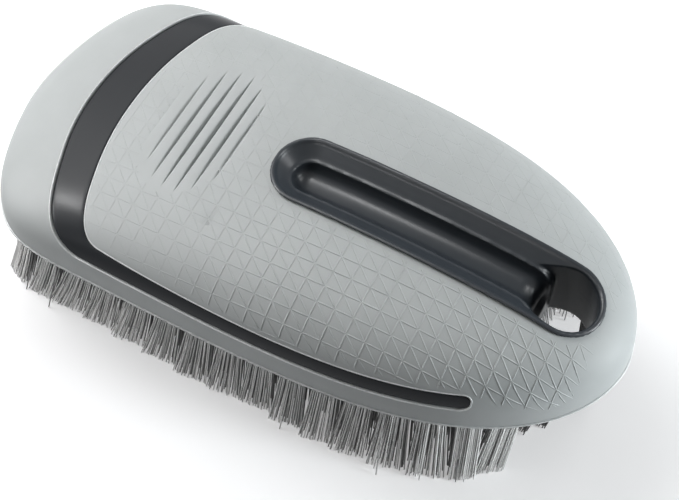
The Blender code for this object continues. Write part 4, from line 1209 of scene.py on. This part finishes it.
rubber = moulded("grey_soft_grip_rubber", (171, 175, 175), 2600.0, 2.0, 0.5, 0.12, 0.38, 0.12)
rubber.set(Base_Color=rubber.blend(rubber.noise(90.0, 3.0), linear(171, 175, 175),
                                   linear(181, 185, 185)))
satin = moulded("black_satin_moulding", (32, 35, 39), 1800.0, 2.0, 0.25, 0.1, 0.12, 0.22)
gloss = moulded("black_gloss_moulding", (44, 49, 54), 500.0, 3.0, 0.27, 0.14, 0.3, 0.03)


def two_tone(name, share_of, dark, light, roughness, spread=0.0, metallic=0.0):
    """A finish that runs from dark to light by a share that it works out itself."""
    finish = Finish(name)
    share = share_of(finish)
    finish.set(Base_Color=finish.blend(share, linear(*dark), linear(*light)), Metallic=metallic,
               Roughness=roughness + spread * share if spread else roughness)
    return finish


# Colour of the edge beads: lighter than the rubber as a painted highlight, with a random tone in
# it.
painted_highlight_edge = two_tone("rubber_edge_painted_highlight", lambda finish: finish.noise(900.0, 3.0),
                      (196, 199, 199), (236, 238, 238), 0.4)
# Filaments run from the dark grey to the light one by their painted lightness; the dark end is
# painted shade for the inner layers.
nylon = two_tone("grey_nylon_filament", Finish.painted_shade_and_tone, (66, 67, 69), (255, 255, 253), 0.3)
black_nylon = two_tone("black_nylon_filament", Finish.painted_shade_and_tone, (22, 22, 24), (60, 60, 62), 0.35)
zinc = two_tone("zinc_plated_steel", lambda finish: finish.noise(900.0),
                (150, 150, 152), (196, 196, 198), 0.28, 0.14, 1.0)


def dress(piece, finish):
    piece.data.materials.clear()
    piece.data.materials.append(finish.material)


for piece, finish in ((cover, rubber), (wires, rubber), (window_bead, painted_highlight_edge),
                      (foot_bead, painted_highlight_edge)):
    dress(piece, finish)
for piece in (core, land, plate):
    dress(piece, satin)
dress(well, gloss)
for node, piece in tufts.items():
    black = node.startswith("nose")
    dress(piece, black_nylon if black else nylon)
for name, finish in (("brush_block", satin), *((f"block_screw_{n}", zinc) for n in range(1, 5))):
    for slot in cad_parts[name].material_slots:
        slot.material = finish.material
print("finishes:", [material.name for material in bpy.data.materials if material.users])

# %% [markdown]
# ## Floor and lights
#
# The photo has a white ground with a soft shadow towards the nose. The floor is mid grey for the
# light that falls on it and nearly white for the camera, and turns plain white further off, so the
# ground is white from any side without more light on the brush. The world does the same. Softboxes
# stand where the photo's shadows and reflections ask for them. The cards are lamps that light only
# reflections, each on the mirrored line of sight of one highlight.

# %% Floor and lights
paper = Finish("white_paper")
seen = paper.background_rays()
away = paper.add("ShaderNodeVectorMath", {"operation": "LENGTH"}, output=1, _0=paper.place())
far_off = seen * away.within(0.22, 0.80)
tone = paper.blend(seen, (0.46, 0.46, 0.47), (0.84, 0.84, 0.85))
glow = paper.blend(seen, (0.0, 0.0, 0.0), (0.40, 0.40, 0.40))
paper.set(Base_Color=paper.blend(far_off, tone, (0.0, 0.0, 0.0)),
          Emission_Color=paper.blend(far_off, glow, (0.95, 0.95, 0.95)),
          Roughness=0.9, Specular_IOR_Level=0.0, Emission_Strength=1.0)
floor.data.materials.append(paper.material)

LAMP_AIM = Vector((0.0, 0.0, 40.0 * MM))


def softbox(name, place, size, energy):
    """Rectangular lamp at a place in metres, turned to the brush."""
    bpy.ops.object.light_add(type="AREA", location=place)
    lamp = bpy.context.object
    lamp.name = name
    lamp.data.shape = "RECTANGLE"
    lamp.data.size, lamp.data.size_y = size
    lamp.data.energy = energy
    lamp.rotation_euler = (Vector(place) - LAMP_AIM).to_track_quat("Z", "Y").to_euler()
    return lamp


# Each lamp: name, place and size in metres, watts.
SOFTBOXES = (
    ("heel_softbox", (-0.70, 0.10, 0.55), (0.5, 0.5), 3.7),
    ("heel_far_softbox", (-0.55, 0.60, 0.45), (0.5, 0.5), 1.7),
    ("far_softbox", (0.10, 0.80, 0.40), (0.6, 0.4), 1.8),
    ("heel_fill", (-0.30, -0.16, 0.30), (0.3, 0.3), 0.15),
    ("bristle_softbox", (-0.75, -0.45, 0.12), (0.4, 0.2), 1.5),
    ("top_fill", (-0.27, 0.10, 0.45), (0.3, 0.3), 0.8),
    ("nose_softbox", (0.85, 0.20, 0.10), (0.2, 0.5), 12.0),
)
CARDS = (
    ("band_card", (-0.467, -0.121, 0.466), (0.05, 0.05), 2.2),
    ("ridge_card", (-0.20, -0.06, 0.75), (0.3, 0.12), 3.0),
    ("lip_card", (-0.464, -0.19, 0.233), (0.12, 0.12), 1.6),
    ("nose_card", (0.62, 0.25, 0.62), (0.2, 0.2), 2.0),
    ("near_card", (-0.15, -0.70, 0.33), (0.5, 0.05), 1.4),
)
lamps = {lamp[0]: softbox(*lamp) for lamp in SOFTBOXES + CARDS}
lamps["far_softbox"].visible_glossy = False
lamps["nose_softbox"].data.color = (0.93, 0.98, 1.0)
for name, *_ in CARDS:
    lamps[name].visible_diffuse = False

world = bpy.data.worlds.new("studio")
bpy.context.scene.world = world
world.use_nodes = True
studio = Nodes(world.node_tree)
studio.feed(studio.tree.nodes["Background"],
            {"Color": (1.0, 1.0, 1.0, 1.0), "Strength": 0.04 + 0.91 * studio.background_rays()})
bpy.context.scene.view_settings.view_transform = "Standard"
print("lamps:", len(lamps))
